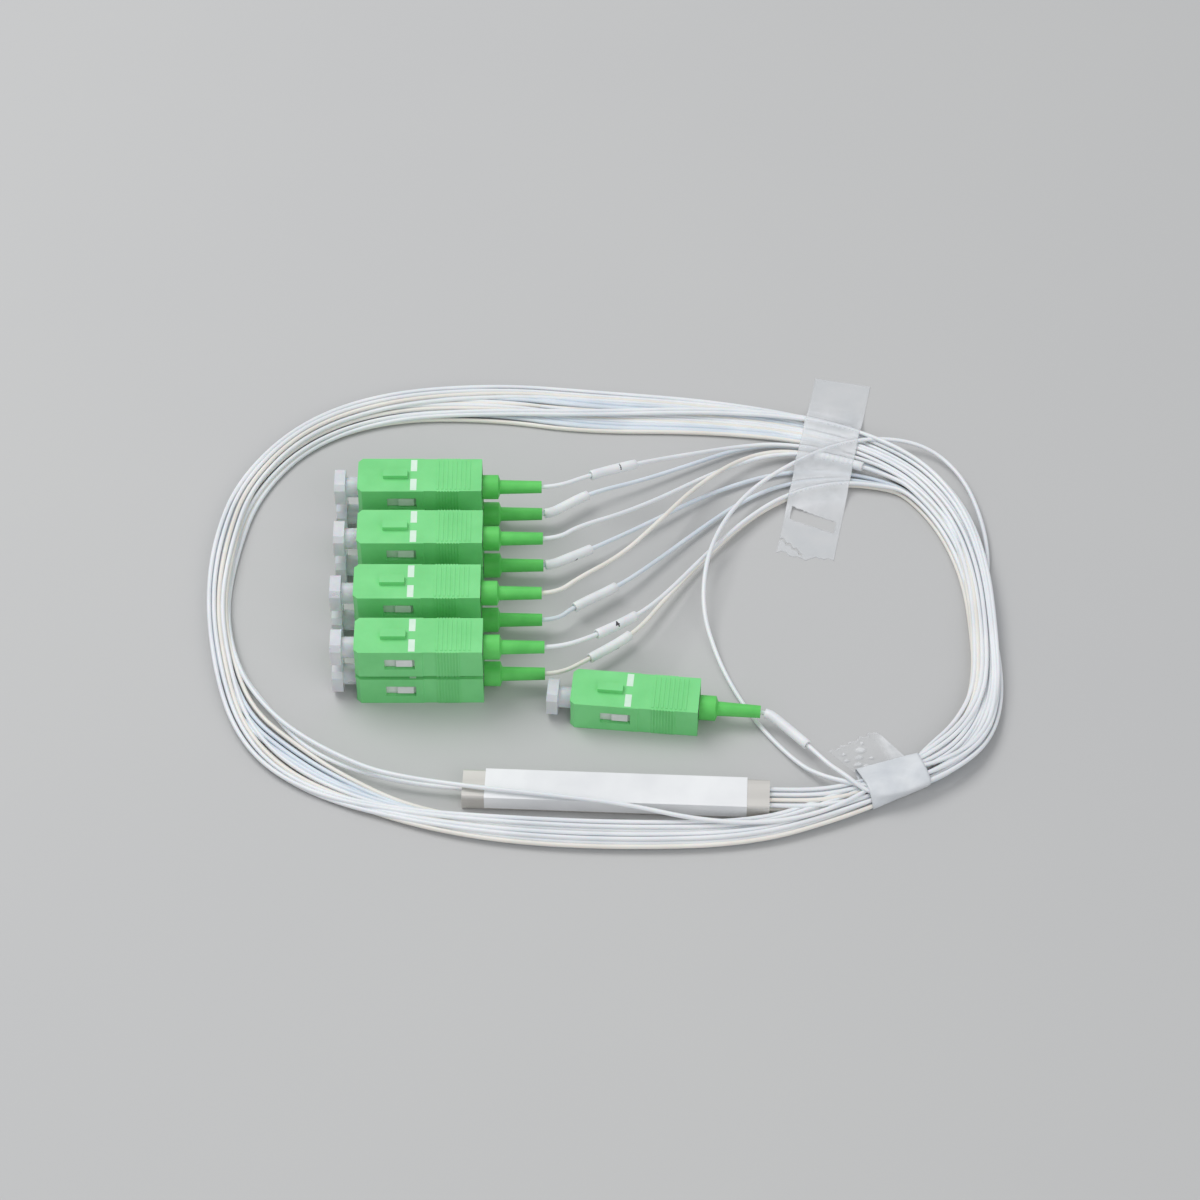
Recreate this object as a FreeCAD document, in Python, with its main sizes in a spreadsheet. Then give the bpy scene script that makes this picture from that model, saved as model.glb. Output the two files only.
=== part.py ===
import FreeCAD, Part
import math
import os
import Sketcher

# Fibre splitter: a flat steel module whose one input and eight output fibres, each in a
# white buffer tube and with a push-pull connector, are wound into one flat coil.
# Millimetres. +X along the connectors from dust cap to boot, +Z up, the floor is z = 0,
# and the origin is the middle of the module's underside.

doc = FreeCAD.newDocument("fibre_splitter")
dims = doc.addObject("Spreadsheet::Sheet", "Dims")

SIZES = [
    # Green outer grip of a connector, key rib upwards
    ("grip_length", 25.4),
    ("grip_width", 9.0),
    ("grip_rise", 7.4),
    ("grip_side_wall", 0.8),
    ("grip_top_wall", 0.6),
    ("grip_corner", 0.9),
    ("nose_length", 13.5),
    ("nose_step", 0.1),
    ("key_start", 5.2),
    ("key_length", 5.0),
    ("key_width", 2.0),
    ("key_rise", 0.9),
    ("window_start", 6.0),
    ("window_length", 6.0),
    ("window_rise", 3.0),
    ("ridge_start", 16.3),
    ("ridge_pitch", 0.6),
    ("ridge_width", 0.3),
    ("ridge_rise", 0.15),
    ("ridge_count", 8),
    # Plug frame inside the grip
    ("slide_clearance", 0.1),
    ("frame_setback", 0.6),
    ("frame_length", 21.4),
    ("mouth_bore", 4.7),
    ("mouth_depth", 6.9),
    ("seat_wall", 1.5),
    ("rear_bore", 4.6),
    ("catch_start", 8.3),
    ("catch_length", 3.2),
    ("catch_rise", 2.0),
    ("catch_reach", 0.6),
    # Ferrule, its spring and the rear body that holds the spring
    ("ferrule_bore", 2.5),
    ("ferrule_clearance", 0.05),
    ("tip_setback", 0.9),
    ("tip_slant", 8.0),
    ("flange_width", 4.2),
    ("flange_length", 2.0),
    ("flange_gap", 0.05),
    ("tail_width", 2.0),
    ("tail_length", 3.0),
    ("spring_length", 5.8),
    ("spring_wall", 0.5),
    ("spring_gap", 0.05),
    ("post_width", 3.4),
    ("post_reach", 6.6),
    ("post_bore", 1.2),
    # Boot
    ("boot_gap", 0.1),
    ("boot_base_width", 5.0),
    ("boot_base_length", 3.6),
    ("boot_neck_width", 2.9),
    ("boot_end_width", 2.5),
    ("boot_length", 8.5),
    ("boot_wall", 0.4),
    ("glass_bore", 0.5),
    # Dust cap over the ferrule
    ("cap_neck_width", 4.2),
    ("cap_depth", 3.5),
    ("cap_reach", 2.6),
    ("cap_head_length", 2.2),
    ("cap_head_width", 6.0),
    ("cap_head_corner", 1.0),
    ("cap_clearance", 0.02),
    ("cap_bore_end", 1.0),
    # Where the connectors lie: two layers of four in a column, and the input by itself
    ("row_a_x", -52.7),
    ("row_b_x", -52.3),
    ("row_c_x", -52.4),
    ("row_d_x", -51.7),
    ("row_a_y", 71.3),
    ("row_b_y", 57.3),
    ("row_c_y", 42.8),
    ("row_d_y", 28.8),
    ("layer_gap", 0.1),
    ("input_x", -8.7),
    ("input_y", 22.7),
    ("input_turn", -5.5),
    # Buffer tube and marker sleeve
    ("tube_width", 0.9),
    ("sleeve_width", 2.0),
    ("sleeve_bore", 1.2),
    ("sleeve_length", 10.5),
    # Module
    ("module_length", 60.0),
    ("module_width", 7.0),
    ("module_rise", 4.0),
    ("module_wall", 0.4),
    ("module_edge", 0.6),
    ("module_turn", -2.5),
    ("seal_length", 3.0),
    ("seal_hole_clearance", 0.05),
    ("seal_pitch_side", 1.3),
    ("seal_pitch_rise", 1.3),
    ("label_length", 51.2),
    ("label_film", 0.1),
    ("label_skirt", 3.2),
    ("chip_length", 12.0),
    ("chip_width", 2.6),
    ("chip_rise", 1.5),
    ("input_block_length", 4.0),
    ("input_block_width", 2.6),
    ("output_block_length", 5.0),
    ("output_block_width", 4.0),
    # Coil and the two tapes that tie it
    ("coil_lift", 0.2),
    ("coil_rise", 3.8),
    ("coil_slope_start", 61.0),
    ("coil_slope_end", 101.0),
    ("coil_far_rise", 2.0),
    ("tape_film", 0.15),
    ("strip_x", 49.1),
    ("strip_y", 112.1),
    ("strip_turn", -101.3),
    ("strip_width", 12.0),
    ("strip_length", 50.2),
    ("strip_climb_start", 11.6),
    ("strip_climb_end", 16.4),
    ("strip_top_end", 28.4),
    ("strip_rise", 3.6),
    ("strip_leads_start", 31.6),
    ("strip_leads_end", 40.1),
    ("strip_leads_rise", 2.42),
    ("strip_fall_end", 44.4),
    ("wrap_x", 54.6),
    ("wrap_y", 3.2),
    ("wrap_turn", 17.0),
    ("wrap_length", 12.5),
    ("wrap_width", 11.0),
    ("wrap_rise", 4.4),
    ("flap_reach", 11.55),
    ("flap_far_right", 3.5),
    ("flap_far_left", 3.75),
    ("flap_tip_left", 7.5),
    ("flap_tip_reach", 7.7),
    # Length by which a cutting tool overruns each end
    ("overrun", 1.0),
]

for line, (name, value) in enumerate(SIZES, start=1):
    dims.set("A%d" % line, name.replace("_", " "))
    dims.set("B%d" % line, str(value))
    dims.setAlias("B%d" % line, name)
doc.recompute()

AXIS_RISE = "(Dims.grip_rise / 2)"
UPPER_RISE = "(Dims.grip_rise * 1.5 + Dims.key_rise + Dims.layer_gap)"


def value_of(text):
    """Number that an expression on the sheet gives now."""
    result = dims.evalExpression(text)
    return float(getattr(result, "Value", result))


def size(name):
    """Number in one named cell of the sheet."""
    return value_of("Dims." + name)


def origin_plane(body, role):
    """One of the body's own three planes."""
    for feature in body.Origin.OriginFeatures:
        if feature.Role == role:
            return feature
    raise ValueError(role)


def outline(body, role, corners, offset=None):
    """Closed straight-sided sketch whose corners are bound to the sheet."""
    sketch = body.newObject("Sketcher::SketchObject", body.Name + "_outline")
    sketch.AttachmentSupport = [(origin_plane(body, role), "")]
    sketch.MapMode = "FlatFace"
    if offset:
        sketch.setExpression("AttachmentOffset.Base.z", offset)
    ends = [FreeCAD.Vector(value_of(a), value_of(b), 0) for a, b in corners]
    count = len(ends)
    for i in range(count):
        sketch.addGeometry(Part.LineSegment(ends[i], ends[(i + 1) % count]), False)
    for i in range(count):
        sketch.addConstraint(Sketcher.Constraint("Coincident", i, 2, (i + 1) % count, 1))
    for i, pair in enumerate(corners):
        for kind, axis, text, now in (
            ("DistanceX", -2, pair[0], ends[i].x),
            ("DistanceY", -1, pair[1], ends[i].y),
        ):
            if text == "0":
                sketch.addConstraint(Sketcher.Constraint("PointOnObject", i, 1, axis))
                continue
            index = sketch.addConstraint(Sketcher.Constraint(kind, -1, 1, i, 1, now))
            sketch.setExpression("Constraints[%d]" % index, text)
    return sketch


def rectangle(low_a, low_b, high_a, high_b):
    """Corners of an upright rectangle."""
    return [(low_a, low_b), (high_a, low_b), (high_a, high_b), (low_a, high_b)]


def pad(body, sketch, length):
    """Solid raised from a sketch along its plane's normal."""
    feature = body.newObject("PartDesign::Pad", body.Name + "_pad")
    feature.Profile = sketch
    feature.setExpression("Length", length)
    return feature


def pocket(body, sketch, length):
    """Cut made from a sketch along its plane's normal, checked by volume."""
    doc.recompute()
    before = body.Shape.Volume
    feature = body.newObject("PartDesign::Pocket", body.Name + "_pocket")
    feature.Profile = sketch
    feature.setExpression("Length", length)
    feature.Reversed = True
    doc.recompute()
    if body.Shape.Volume > before - 0.001:
        raise ValueError(body.Name + " pocket cuts nothing")
    return feature


def new_body(name):
    """Empty body with its own planes."""
    return doc.addObject("PartDesign::Body", name)


def turned(name, profile):
    """Body turned about X from its half profile, given as (along, radius) corners."""
    body = new_body(name)
    sketch = outline(body, "XZ_Plane", profile)
    feature = body.newObject("PartDesign::Revolution", name + "_turn")
    feature.Profile = sketch
    feature.ReferenceAxis = (sketch, ["H_Axis"])
    feature.Angle = 360
    doc.recompute()
    return body


def placed(name, sources, x="0", y="0", rise="0", turn="0"):
    """Node made of copies of the given solids, turned about Z and moved."""
    node = doc.addObject("Part::Compound", name)
    node.Label = name
    node.Links = sources
    upright = FreeCAD.Rotation(FreeCAD.Vector(0, 0, 1), value_of(turn))
    node.Placement = FreeCAD.Placement(FreeCAD.Vector(), upright)
    node.setExpression("Placement.Base.x", x)
    node.setExpression("Placement.Base.y", y)
    node.setExpression("Placement.Base.z", rise)
    if turn != "0":
        node.setExpression("Placement.Rotation.Angle", turn)
    return node


def make_grip():
    """Outer grip: a chamfered sleeve, open at both ends, with key, windows and finger ridges."""
    body = new_body("grip_form")
    half = "Dims.grip_width / 2"
    rear = "Dims.grip_width / 2 - Dims.nose_step"
    side = [
        ("Dims.grip_corner", half),
        ("Dims.nose_length", half),
        ("Dims.nose_length + Dims.nose_step", rear),
        ("Dims.grip_length", rear),
    ]
    near = [("0", "-(%s - Dims.grip_corner)" % half)]
    near += [(x, "-(%s)" % y) for x, y in side]
    far = [(x, y) for x, y in reversed(side)]
    far += [("0", "%s - Dims.grip_corner" % half)]
    pad(body, outline(body, "XY_Plane", near + far, "-Dims.grip_rise / 2"), "Dims.grip_rise")
    inside = rectangle(
        "-(Dims.grip_width / 2 - Dims.grip_side_wall)",
        "-(Dims.grip_rise / 2 - Dims.grip_top_wall)",
        "Dims.grip_width / 2 - Dims.grip_side_wall",
        "Dims.grip_rise / 2 - Dims.grip_top_wall",
    )
    pocket(body, outline(body, "YZ_Plane", inside), "Dims.grip_length")
    window = rectangle(
        "Dims.window_start",
        "-Dims.window_rise / 2",
        "Dims.window_start + Dims.window_length",
        "Dims.window_rise / 2",
    )
    # The plane's normal is -Y, so the sketch stands at the far side and the cut runs nearer
    pocket(body, outline(body, "XZ_Plane", window, "-Dims.grip_width"), "Dims.grip_width * 2")
    key = rectangle(
        "Dims.key_start",
        "-Dims.key_width / 2",
        "Dims.key_start + Dims.key_length",
        "Dims.key_width / 2",
    )
    pad(body, outline(body, "XY_Plane", key, "Dims.grip_rise / 2"), "Dims.key_rise")
    ridge = rectangle(
        "Dims.ridge_start",
        "Dims.grip_width / 2 - Dims.nose_step - Dims.grip_side_wall / 2",
        "Dims.ridge_start + Dims.ridge_width",
        "Dims.grip_width / 2 - Dims.nose_step + Dims.ridge_rise",
    )
    first = pad(body, outline(body, "XY_Plane", ridge, "-Dims.grip_rise / 2"), "Dims.grip_rise")
    row = body.newObject("PartDesign::LinearPattern", "grip_ridges")
    row.Originals = [first]
    row.Direction = (first.Profile[0], ["H_Axis"])
    row.setExpression("Occurrences", "Dims.ridge_count")
    row.setExpression("Length", "Dims.ridge_pitch * (Dims.ridge_count - 1)")
    body.Tip = row
    doc.recompute()
    both = doc.addObject("Part::Mirroring", "grip_other_side")
    both.Source = body
    both.Normal = FreeCAD.Vector(0, 1, 0)
    joined = doc.addObject("Part::Fuse", "grip_whole")
    joined.Base = body
    joined.Tool = both
    joined.Refine = True
    return joined


def make_frame():
    """Plug frame: a stepped-bore block with a catch on each side for the grip's windows."""
    body = new_body("frame_form")
    half_side = "Dims.grip_width / 2 - Dims.grip_side_wall - Dims.slide_clearance"
    half_rise = "Dims.grip_rise / 2 - Dims.grip_top_wall - Dims.slide_clearance"
    section = rectangle("-(%s)" % half_side, "-(%s)" % half_rise, half_side, half_rise)
    pad(body, outline(body, "YZ_Plane", section, "Dims.frame_setback"), "Dims.frame_length")
    catch = rectangle(
        "Dims.catch_start",
        "-(%s + Dims.catch_reach)" % half_side,
        "Dims.catch_start + Dims.catch_length",
        "%s + Dims.catch_reach" % half_side,
    )
    pad(body, outline(body, "XY_Plane", catch, "-Dims.catch_rise / 2"), "Dims.catch_rise")
    seat = "Dims.frame_setback + Dims.mouth_depth"
    bore = [
        ("Dims.frame_setback - Dims.overrun", "0"),
        ("Dims.frame_setback - Dims.overrun", "Dims.mouth_bore / 2"),
        (seat, "Dims.mouth_bore / 2"),
        (seat, "Dims.ferrule_bore / 2 + Dims.ferrule_clearance"),
        (seat + " + Dims.seat_wall", "Dims.ferrule_bore / 2 + Dims.ferrule_clearance"),
        (seat + " + Dims.seat_wall", "Dims.rear_bore / 2"),
        ("Dims.frame_setback + Dims.frame_length + Dims.overrun", "Dims.rear_bore / 2"),
        ("Dims.frame_setback + Dims.frame_length + Dims.overrun", "0"),
    ]
    doc.recompute()
    uncut = body.Shape.Volume
    sketch = outline(body, "XZ_Plane", bore)
    groove = body.newObject("PartDesign::Groove", "frame_bore")
    groove.Profile = sketch
    groove.ReferenceAxis = (sketch, ["H_Axis"])
    groove.Angle = 360
    doc.recompute()
    if body.Shape.Volume >= uncut:
        raise ValueError("frame bore cuts nothing")
    return body


FLANGE_FRONT = "(Dims.frame_setback + Dims.mouth_depth + Dims.seat_wall + Dims.flange_gap)"
FLANGE_BACK = "(" + FLANGE_FRONT + " + Dims.flange_length)"
SPRING_BACK = "(" + FLANGE_BACK + " + Dims.spring_gap + Dims.spring_length)"
FRAME_BACK = "(Dims.frame_setback + Dims.frame_length)"
BOOT_START = "(Dims.grip_length + Dims.boot_gap)"
BOOT_NECK = "(" + BOOT_START + " + Dims.boot_base_length)"
BOOT_END = "(" + BOOT_NECK + " + Dims.boot_length)"


def make_ferrule():
    """Ceramic ferrule with its flange; the tip is cut at a slant of eight degrees."""
    body = turned(
        "ferrule_form",
        [
            ("Dims.tip_setback", "0"),
            ("Dims.tip_setback", "Dims.ferrule_bore / 2"),
            (FLANGE_FRONT, "Dims.ferrule_bore / 2"),
            (FLANGE_FRONT, "Dims.flange_width / 2"),
            (FLANGE_BACK, "Dims.flange_width / 2"),
            (FLANGE_BACK, "Dims.tail_width / 2"),
            (FLANGE_BACK + " + Dims.tail_length", "Dims.tail_width / 2"),
            (FLANGE_BACK + " + Dims.tail_length", "0"),
        ],
    )
    slant = "Dims.ferrule_bore * tan(Dims.tip_slant * 1deg)"
    wedge = [
        ("Dims.tip_setback - Dims.overrun", "-Dims.ferrule_bore / 2"),
        ("Dims.tip_setback", "-Dims.ferrule_bore / 2"),
        ("Dims.tip_setback + " + slant, "Dims.ferrule_bore / 2"),
        ("Dims.tip_setback - Dims.overrun", "Dims.ferrule_bore / 2"),
    ]
    sketch = outline(body, "XZ_Plane", wedge, "-Dims.ferrule_bore")
    pocket(body, sketch, "Dims.ferrule_bore * 2")
    return body


def make_spring():
    """Outer shape of the spring behind the flange."""
    start = FLANGE_BACK + " + Dims.spring_gap"
    outer = "Dims.flange_width / 2"
    inner = "Dims.flange_width / 2 - Dims.spring_wall"
    profile = [(start, inner), (start, outer), (SPRING_BACK, outer), (SPRING_BACK, inner)]
    return turned("spring_form", profile)


def make_rear_body():
    """Rear body: plugs the frame, holds the spring and carries the boot on its post."""
    return turned(
        "rear_body_form",
        [
            (SPRING_BACK, "Dims.post_bore / 2"),
            (SPRING_BACK, "Dims.rear_bore / 2"),
            (FRAME_BACK, "Dims.rear_bore / 2"),
            (FRAME_BACK, "Dims.post_width / 2"),
            (FRAME_BACK + " + Dims.post_reach", "Dims.post_width / 2"),
            (FRAME_BACK + " + Dims.post_reach", "Dims.post_bore / 2"),
        ],
    )


def make_boot():
    """Strain relief boot: a short drum on the post and a thin tapering tail."""
    post_end = FRAME_BACK + " + Dims.post_reach"
    return turned(
        "boot_form",
        [
            (BOOT_START, "Dims.post_width / 2"),
            (BOOT_START, "Dims.boot_base_width / 2"),
            (BOOT_NECK + " - Dims.boot_wall", "Dims.boot_base_width / 2"),
            (BOOT_NECK, "Dims.boot_neck_width / 2"),
            (BOOT_END, "Dims.boot_end_width / 2"),
            (BOOT_END, "Dims.glass_bore / 2"),
            (post_end, "Dims.glass_bore / 2"),
            (post_end, "Dims.post_width / 2"),
        ],
    )


def make_cap():
    """Dust cap: a round neck over the ferrule and a square head with cut corners."""
    bore = "Dims.ferrule_bore / 2 + Dims.cap_clearance"
    body = turned(
        "cap_form",
        [
            ("-Dims.cap_reach", "0"),
            ("-Dims.cap_reach", "Dims.cap_neck_width / 2"),
            ("Dims.cap_depth", "Dims.cap_neck_width / 2"),
            ("Dims.cap_depth", bore),
            ("-Dims.cap_bore_end", bore),
            ("-Dims.cap_bore_end", "0"),
        ],
    )
    half = "Dims.cap_head_width / 2"
    cut = "Dims.cap_head_width / 2 - Dims.cap_head_corner"
    head = [
        ("-(%s)" % cut, "-" + half),
        (cut, "-" + half),
        (half, "-(%s)" % cut),
        (half, cut),
        (cut, half),
        ("-(%s)" % cut, half),
        ("-" + half, cut),
        ("-" + half, "-(%s)" % cut),
    ]
    place = "-(Dims.cap_reach + Dims.cap_head_length)"
    pad(body, outline(body, "YZ_Plane", head, place), "Dims.cap_head_length")
    doc.recompute()
    return body


def make_box(name, corner, lengths):
    """Box from its low corner, both given as expressions."""
    box = doc.addObject("Part::Box", name)
    for key, text in zip(("Length", "Width", "Height"), lengths):
        box.setExpression(key, text)
    for key, text in zip(("x", "y", "z"), corner):
        box.setExpression("Placement.Base." + key, text)
    return box


def difference(name, base, tool):
    """First solid less the second."""
    cut = doc.addObject("Part::Cut", name)
    cut.Base = base
    cut.Tool = tool
    return cut


def union(name, parts):
    """Several solids joined into one."""
    joined = doc.addObject("Part::MultiFuse", name)
    joined.Shapes = parts
    return joined


grip = make_grip()
frame = make_frame()
ferrule = make_ferrule()
spring = make_spring()
rear_body = make_rear_body()
boot = make_boot()
cap = make_cap()
doc.recompute()

# The connectors: outputs 1 to 4 on top, 5 to 8 under them on the floor, then the input
connectors = []
for layer, rise in ((0, UPPER_RISE), (1, AXIS_RISE)):
    for row, letter in enumerate("abcd"):
        connectors.append(
            (
                "output_%d" % (layer * 4 + row + 1),
                "Dims.row_%s_x" % letter,
                "Dims.row_%s_y" % letter,
                rise,
                "0",
            )
        )
connectors.append(("input", "Dims.input_x", "Dims.input_y", AXIS_RISE, "Dims.input_turn"))

nodes = []
shared = {"boots": [], "rear_bodies": [], "ferrule_springs": []}
for name, x, y, rise, turn in connectors:
    for kind, form in (
        ("grip", grip),
        ("plug_frame", frame),
        ("ferrule", ferrule),
        ("dust_cap", cap),
    ):
        nodes.append(placed(name + "_" + kind, [form], x, y, rise, turn))
    for kind, form in (("boots", boot), ("rear_bodies", rear_body), ("ferrule_springs", spring)):
        shared[kind].append(placed(name + "_of_" + kind, [form], x, y, rise, turn))
for kind, members in shared.items():
    nodes.append(placed(kind, members))
doc.recompute()


def make_module():
    """Steel tube, end seals, label wrap and the splitter chip between its fibre blocks."""
    half = "Dims.module_width / 2"
    inner_side = "(Dims.module_width - 2 * Dims.module_wall)"
    inner_rise = "(Dims.module_rise - 2 * Dims.module_wall)"
    body = new_body("module_form")
    section = rectangle("-" + half, "0", half, "Dims.module_rise")
    start = "-Dims.module_length / 2"
    block = pad(body, outline(body, "YZ_Plane", section, start), "Dims.module_length")
    doc.recompute()
    long_edges = []
    for index, edge in enumerate(body.Shape.Edges, start=1):
        if abs(edge.Length - size("module_length")) < 0.001:
            long_edges.append("Edge%d" % index)
    rounding = body.newObject("PartDesign::Fillet", "module_edges")
    rounding.Base = (block, long_edges)
    rounding.setExpression("Radius", "Dims.module_edge")
    body.Tip = rounding
    doc.recompute()
    core = make_box(
        "module_core",
        ("-Dims.module_length / 2 - Dims.overrun", "-%s / 2" % inner_side, "Dims.module_wall"),
        ("Dims.module_length + 2 * Dims.overrun", inner_side, inner_rise),
    )
    tube = difference("module_shell", body, core)

    seals = []
    for end, low in (("input", "-Dims.module_length / 2"),
                     ("output", "Dims.module_length / 2 - Dims.seal_length")):
        block = make_box(
            end + "_seal_block",
            (low, "-%s / 2" % inner_side, "Dims.module_wall"),
            ("Dims.seal_length", inner_side, inner_rise),
        )
        holes = []
        for side, rise in hole_places(end):
            hole = doc.addObject("Part::Cylinder", end + "_seal_hole")
            hole.setExpression("Radius", "Dims.tube_width / 2 + Dims.seal_hole_clearance")
            hole.setExpression("Height", "Dims.seal_length + 2 * Dims.overrun")
            hole.Placement.Rotation = FreeCAD.Rotation(FreeCAD.Vector(0, 1, 0), 90)
            hole.setExpression("Placement.Base.x", low + " - Dims.overrun")
            hole.setExpression("Placement.Base.y", "%s * Dims.seal_pitch_side" % side)
            hole.setExpression(
                "Placement.Base.z",
                "Dims.module_rise / 2 + %s * Dims.seal_pitch_rise" % rise,
            )
            holes.append(hole)
        drill = union(end + "_seal_holes", holes) if len(holes) > 1 else holes[0]
        seals.append(difference(end + "_seal", block, drill))

    film = "Dims.label_film"
    wrap = make_box(
        "label_outer",
        ("-Dims.label_length / 2", "-%s - %s" % (half, film), "Dims.module_rise - Dims.label_skirt"),
        ("Dims.label_length", "Dims.module_width + 2 * " + film, "Dims.label_skirt + " + film),
    )
    label = difference("label_film_wrap", wrap, body)

    def resting(name, middle, length, width):
        low = "(%s) - %s / 2" % (middle, length)
        return make_box(name, (low, "-%s / 2" % width, "Dims.module_wall"),
                        (length, width, "Dims.chip_rise"))

    chip = resting("chip_form", "0", "Dims.chip_length", "Dims.chip_width")
    first = resting(
        "input_block",
        "-(Dims.chip_length + Dims.input_block_length) / 2",
        "Dims.input_block_length",
        "Dims.input_block_width",
    )
    second = resting(
        "output_block",
        "(Dims.chip_length + Dims.output_block_length) / 2",
        "Dims.output_block_length",
        "Dims.output_block_width",
    )
    turn = "Dims.module_turn"
    return [
        placed("module_tube", [tube], turn=turn),
        placed("module_label", [label], turn=turn),
        placed("input_end_seal", [seals[0]], turn=turn),
        placed("output_end_seal", [seals[1]], turn=turn),
        placed("splitter_chip", [chip], turn=turn),
        placed("fibre_blocks", [first, second], turn=turn),
    ]


def hole_places(end):
    """Seal holes in steps of the pitch, as (side, rise): one in, two layers of four out."""
    if end == "input":
        return [(0, 0)]
    return [(side, rise) for rise in (0.5, -0.5) for side in (1.5, 0.5, -0.5, -1.5)]


nodes += make_module()
doc.recompute()

# Routes of the buffer tubes where they are not coiled, chosen by hand. Each lead starts at
# its boot, so the first point is left to the boot's own place.
LEADS = {
    "output_1": [(-5.4, 75.2, 11.7), (5.2, 79.0, 9.4), (15.4, 84.8, 5.2), (26.0, 90.0, 2.4),
                 (35.6, 92.0, 1.75), (47.4, 86.8, 1.75), (55.6, 82.6, 1.75)],
    "output_2": [(-7.6, 60.0, 11.6), (1.0, 64.6, 9.8), (9.4, 71.0, 7.0), (17.6, 77.6, 4.0),
                 (26.0, 84.8, 2.2), (34.0, 89.2, 1.75), (41.8, 87.2, 2.2), (51.8, 81.6, 2.5),
                 (58.4, 79.6, 2.3)],
    "output_3": [(-7.4, 45.6, 11.8), (1.0, 52.2, 10.6), (8.4, 61.6, 8.2), (16.4, 73.6, 5.0),
                 (25.8, 83.4, 2.4), (35.6, 87.9, 1.75), (47.2, 81.8, 1.75), (56.0, 78.8, 1.75)],
    "output_4": [(-4.0, 31.2, 11.5), (5.0, 37.2, 8.9), (10.8, 44.8, 6.2), (17.8, 54.9, 3.4),
                 (27.0, 66.0, 2.1), (36.0, 75.4, 1.75), (47.0, 79.6, 1.75), (56.2, 77.2, 1.75)],
    "output_5": [(-4.2, 75.2, 3.1), (5.4, 80.2, 2.2), (15.6, 85.8, 1.4), (26.4, 90.4, 0.9),
                 (35.6, 92.1, 0.66), (47.4, 86.8, 0.66), (55.6, 82.6, 0.66)],
    "output_6": [(-4.0, 61.1, 3.1), (6.0, 67.6, 2.2), (17.0, 75.6, 1.4), (26.2, 81.4, 0.9),
                 (35.8, 84.6, 0.66), (47.4, 83.4, 0.66), (55.8, 80.2, 0.66)],
    "output_7": [(-8.6, 43.6, 3.5), (0.9, 50.4, 2.8), (8.8, 60.0, 1.8), (17.0, 68.6, 1.2),
                 (26.4, 76.8, 0.8), (35.8, 81.2, 0.66), (47.2, 81.5, 0.66), (56.0, 78.6, 0.66)],
    "output_8": [(-5.6, 31.2, 3.5), (4.0, 37.1, 2.7), (10.4, 47.0, 1.9), (17.4, 56.6, 1.3),
                 (26.8, 68.2, 0.8), (36.0, 76.6, 0.66), (47.0, 79.6, 0.66), (56.2, 77.0, 0.66)],
    "input": [(31.7, 17.7, 3.6), (35.2, 13.7, 3.2), (38.8, 9.1, 2.7), (43.6, 5.9, 2.9),
              (49.4, 4.3, 3.5), (55.4, 5.0, 3.75)],
}
STRAY = [(55.8, 3.2, 3.72), (49.6, 2.4, 3.8), (43.0, 4.6, 2.6), (35.6, 6.8, 0.9),
         (28.8, 13.6, 0.66), (23.6, 23.2, 0.6), (19.8, 34.6, 1.0), (17.6, 46.0, 3.2),
         (18.6, 58.0, 5.2), (22.6, 69.4, 4.4), (29.0, 79.0, 3.6), (37.2, 86.2, 2.95),
         (45.6, 91.0, 3.1), (55.4, 93.6, 3.0), (65.8, 92.0, 2.2), (73.0, 84.0, 1.4),
         (76.4, 72.0, 1.0), (77.0, 60.0, 1.2), (75.0, 50.0, 1.6)]
INPUT_TAIL = [(-68.4, 20.6, 1.6), (-62.4, 12.6, 1.7), (-53.4, 6.6, 1.9), (-42.4, 3.0, 2.0),
              (-32.0, 1.5, 2.0), (-27.9, 1.22, 2.0)]
OUTPUT_TAIL = [(27.97, -1.22), (34.4, -1.5), (41.0, -1.2), (47.4, 0.4), (53.6, 2.6)]


ARC_SHARE = 0.45  # part of the shorter run that each arc of a route takes up


def route_wire(points):
    """Straight runs joined by tangent arcs, with the smallest arc radius."""
    spots = [FreeCAD.Vector(*point) for point in points]
    edges = []
    start = spots[0]
    smallest = None
    for before, corner, after in zip(spots, spots[1:], spots[2:]):
        back = before - corner
        ahead = after - corner
        reach = ARC_SHARE * min(back.Length, ahead.Length)
        turn = math.pi - back.getAngle(ahead)
        radius = reach / math.tan(turn / 2)
        smallest = radius if smallest is None else min(smallest, radius)
        back.normalize()
        ahead.normalize()
        enter = corner + back * reach
        leave = corner + ahead * reach
        middle_way = back + ahead
        middle_way.normalize()
        depth = math.hypot(radius, reach) - radius
        edges.append(Part.LineSegment(start, enter).toShape())
        edges.append(Part.Arc(enter, corner + middle_way * depth, leave).toShape())
        start = leave
    edges.append(Part.LineSegment(start, spots[-1]).toShape())
    return Part.Wire(edges), smallest


def tube_solid(points, label):
    """Buffer tube along a route, its volume held against section times length."""
    path, smallest = route_wire(points)
    first = path.Edges[0]
    way = first.tangentAt(first.FirstParameter)
    radius = size("tube_width") / 2
    ring = Part.Wire(Part.makeCircle(radius, FreeCAD.Vector(*points[0]), way))
    solid = path.makePipeShell([ring], True, False)
    expected = math.pi * radius ** 2 * path.Length
    print("%s: length %.1f mm, smallest radius %.1f mm, volume ratio %.4f"
          % (label, path.Length, smallest, solid.Volume / expected))
    return solid


def boot_exit(name, x, y, rise, turn):
    """Middle of the end face of one connector's boot."""
    reach = value_of(BOOT_END)
    angle = math.radians(value_of(turn))
    return (
        value_of(x) + reach * math.cos(angle),
        value_of(y) + reach * math.sin(angle),
        value_of(rise),
    )


def fixed_shape(name, solids):
    """Node whose shape is worked out here."""
    node = doc.addObject("Part::Feature", name)
    node.Label = name
    node.Shape = Part.makeCompound(solids) if len(solids) > 1 else solids[0]
    return node


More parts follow.
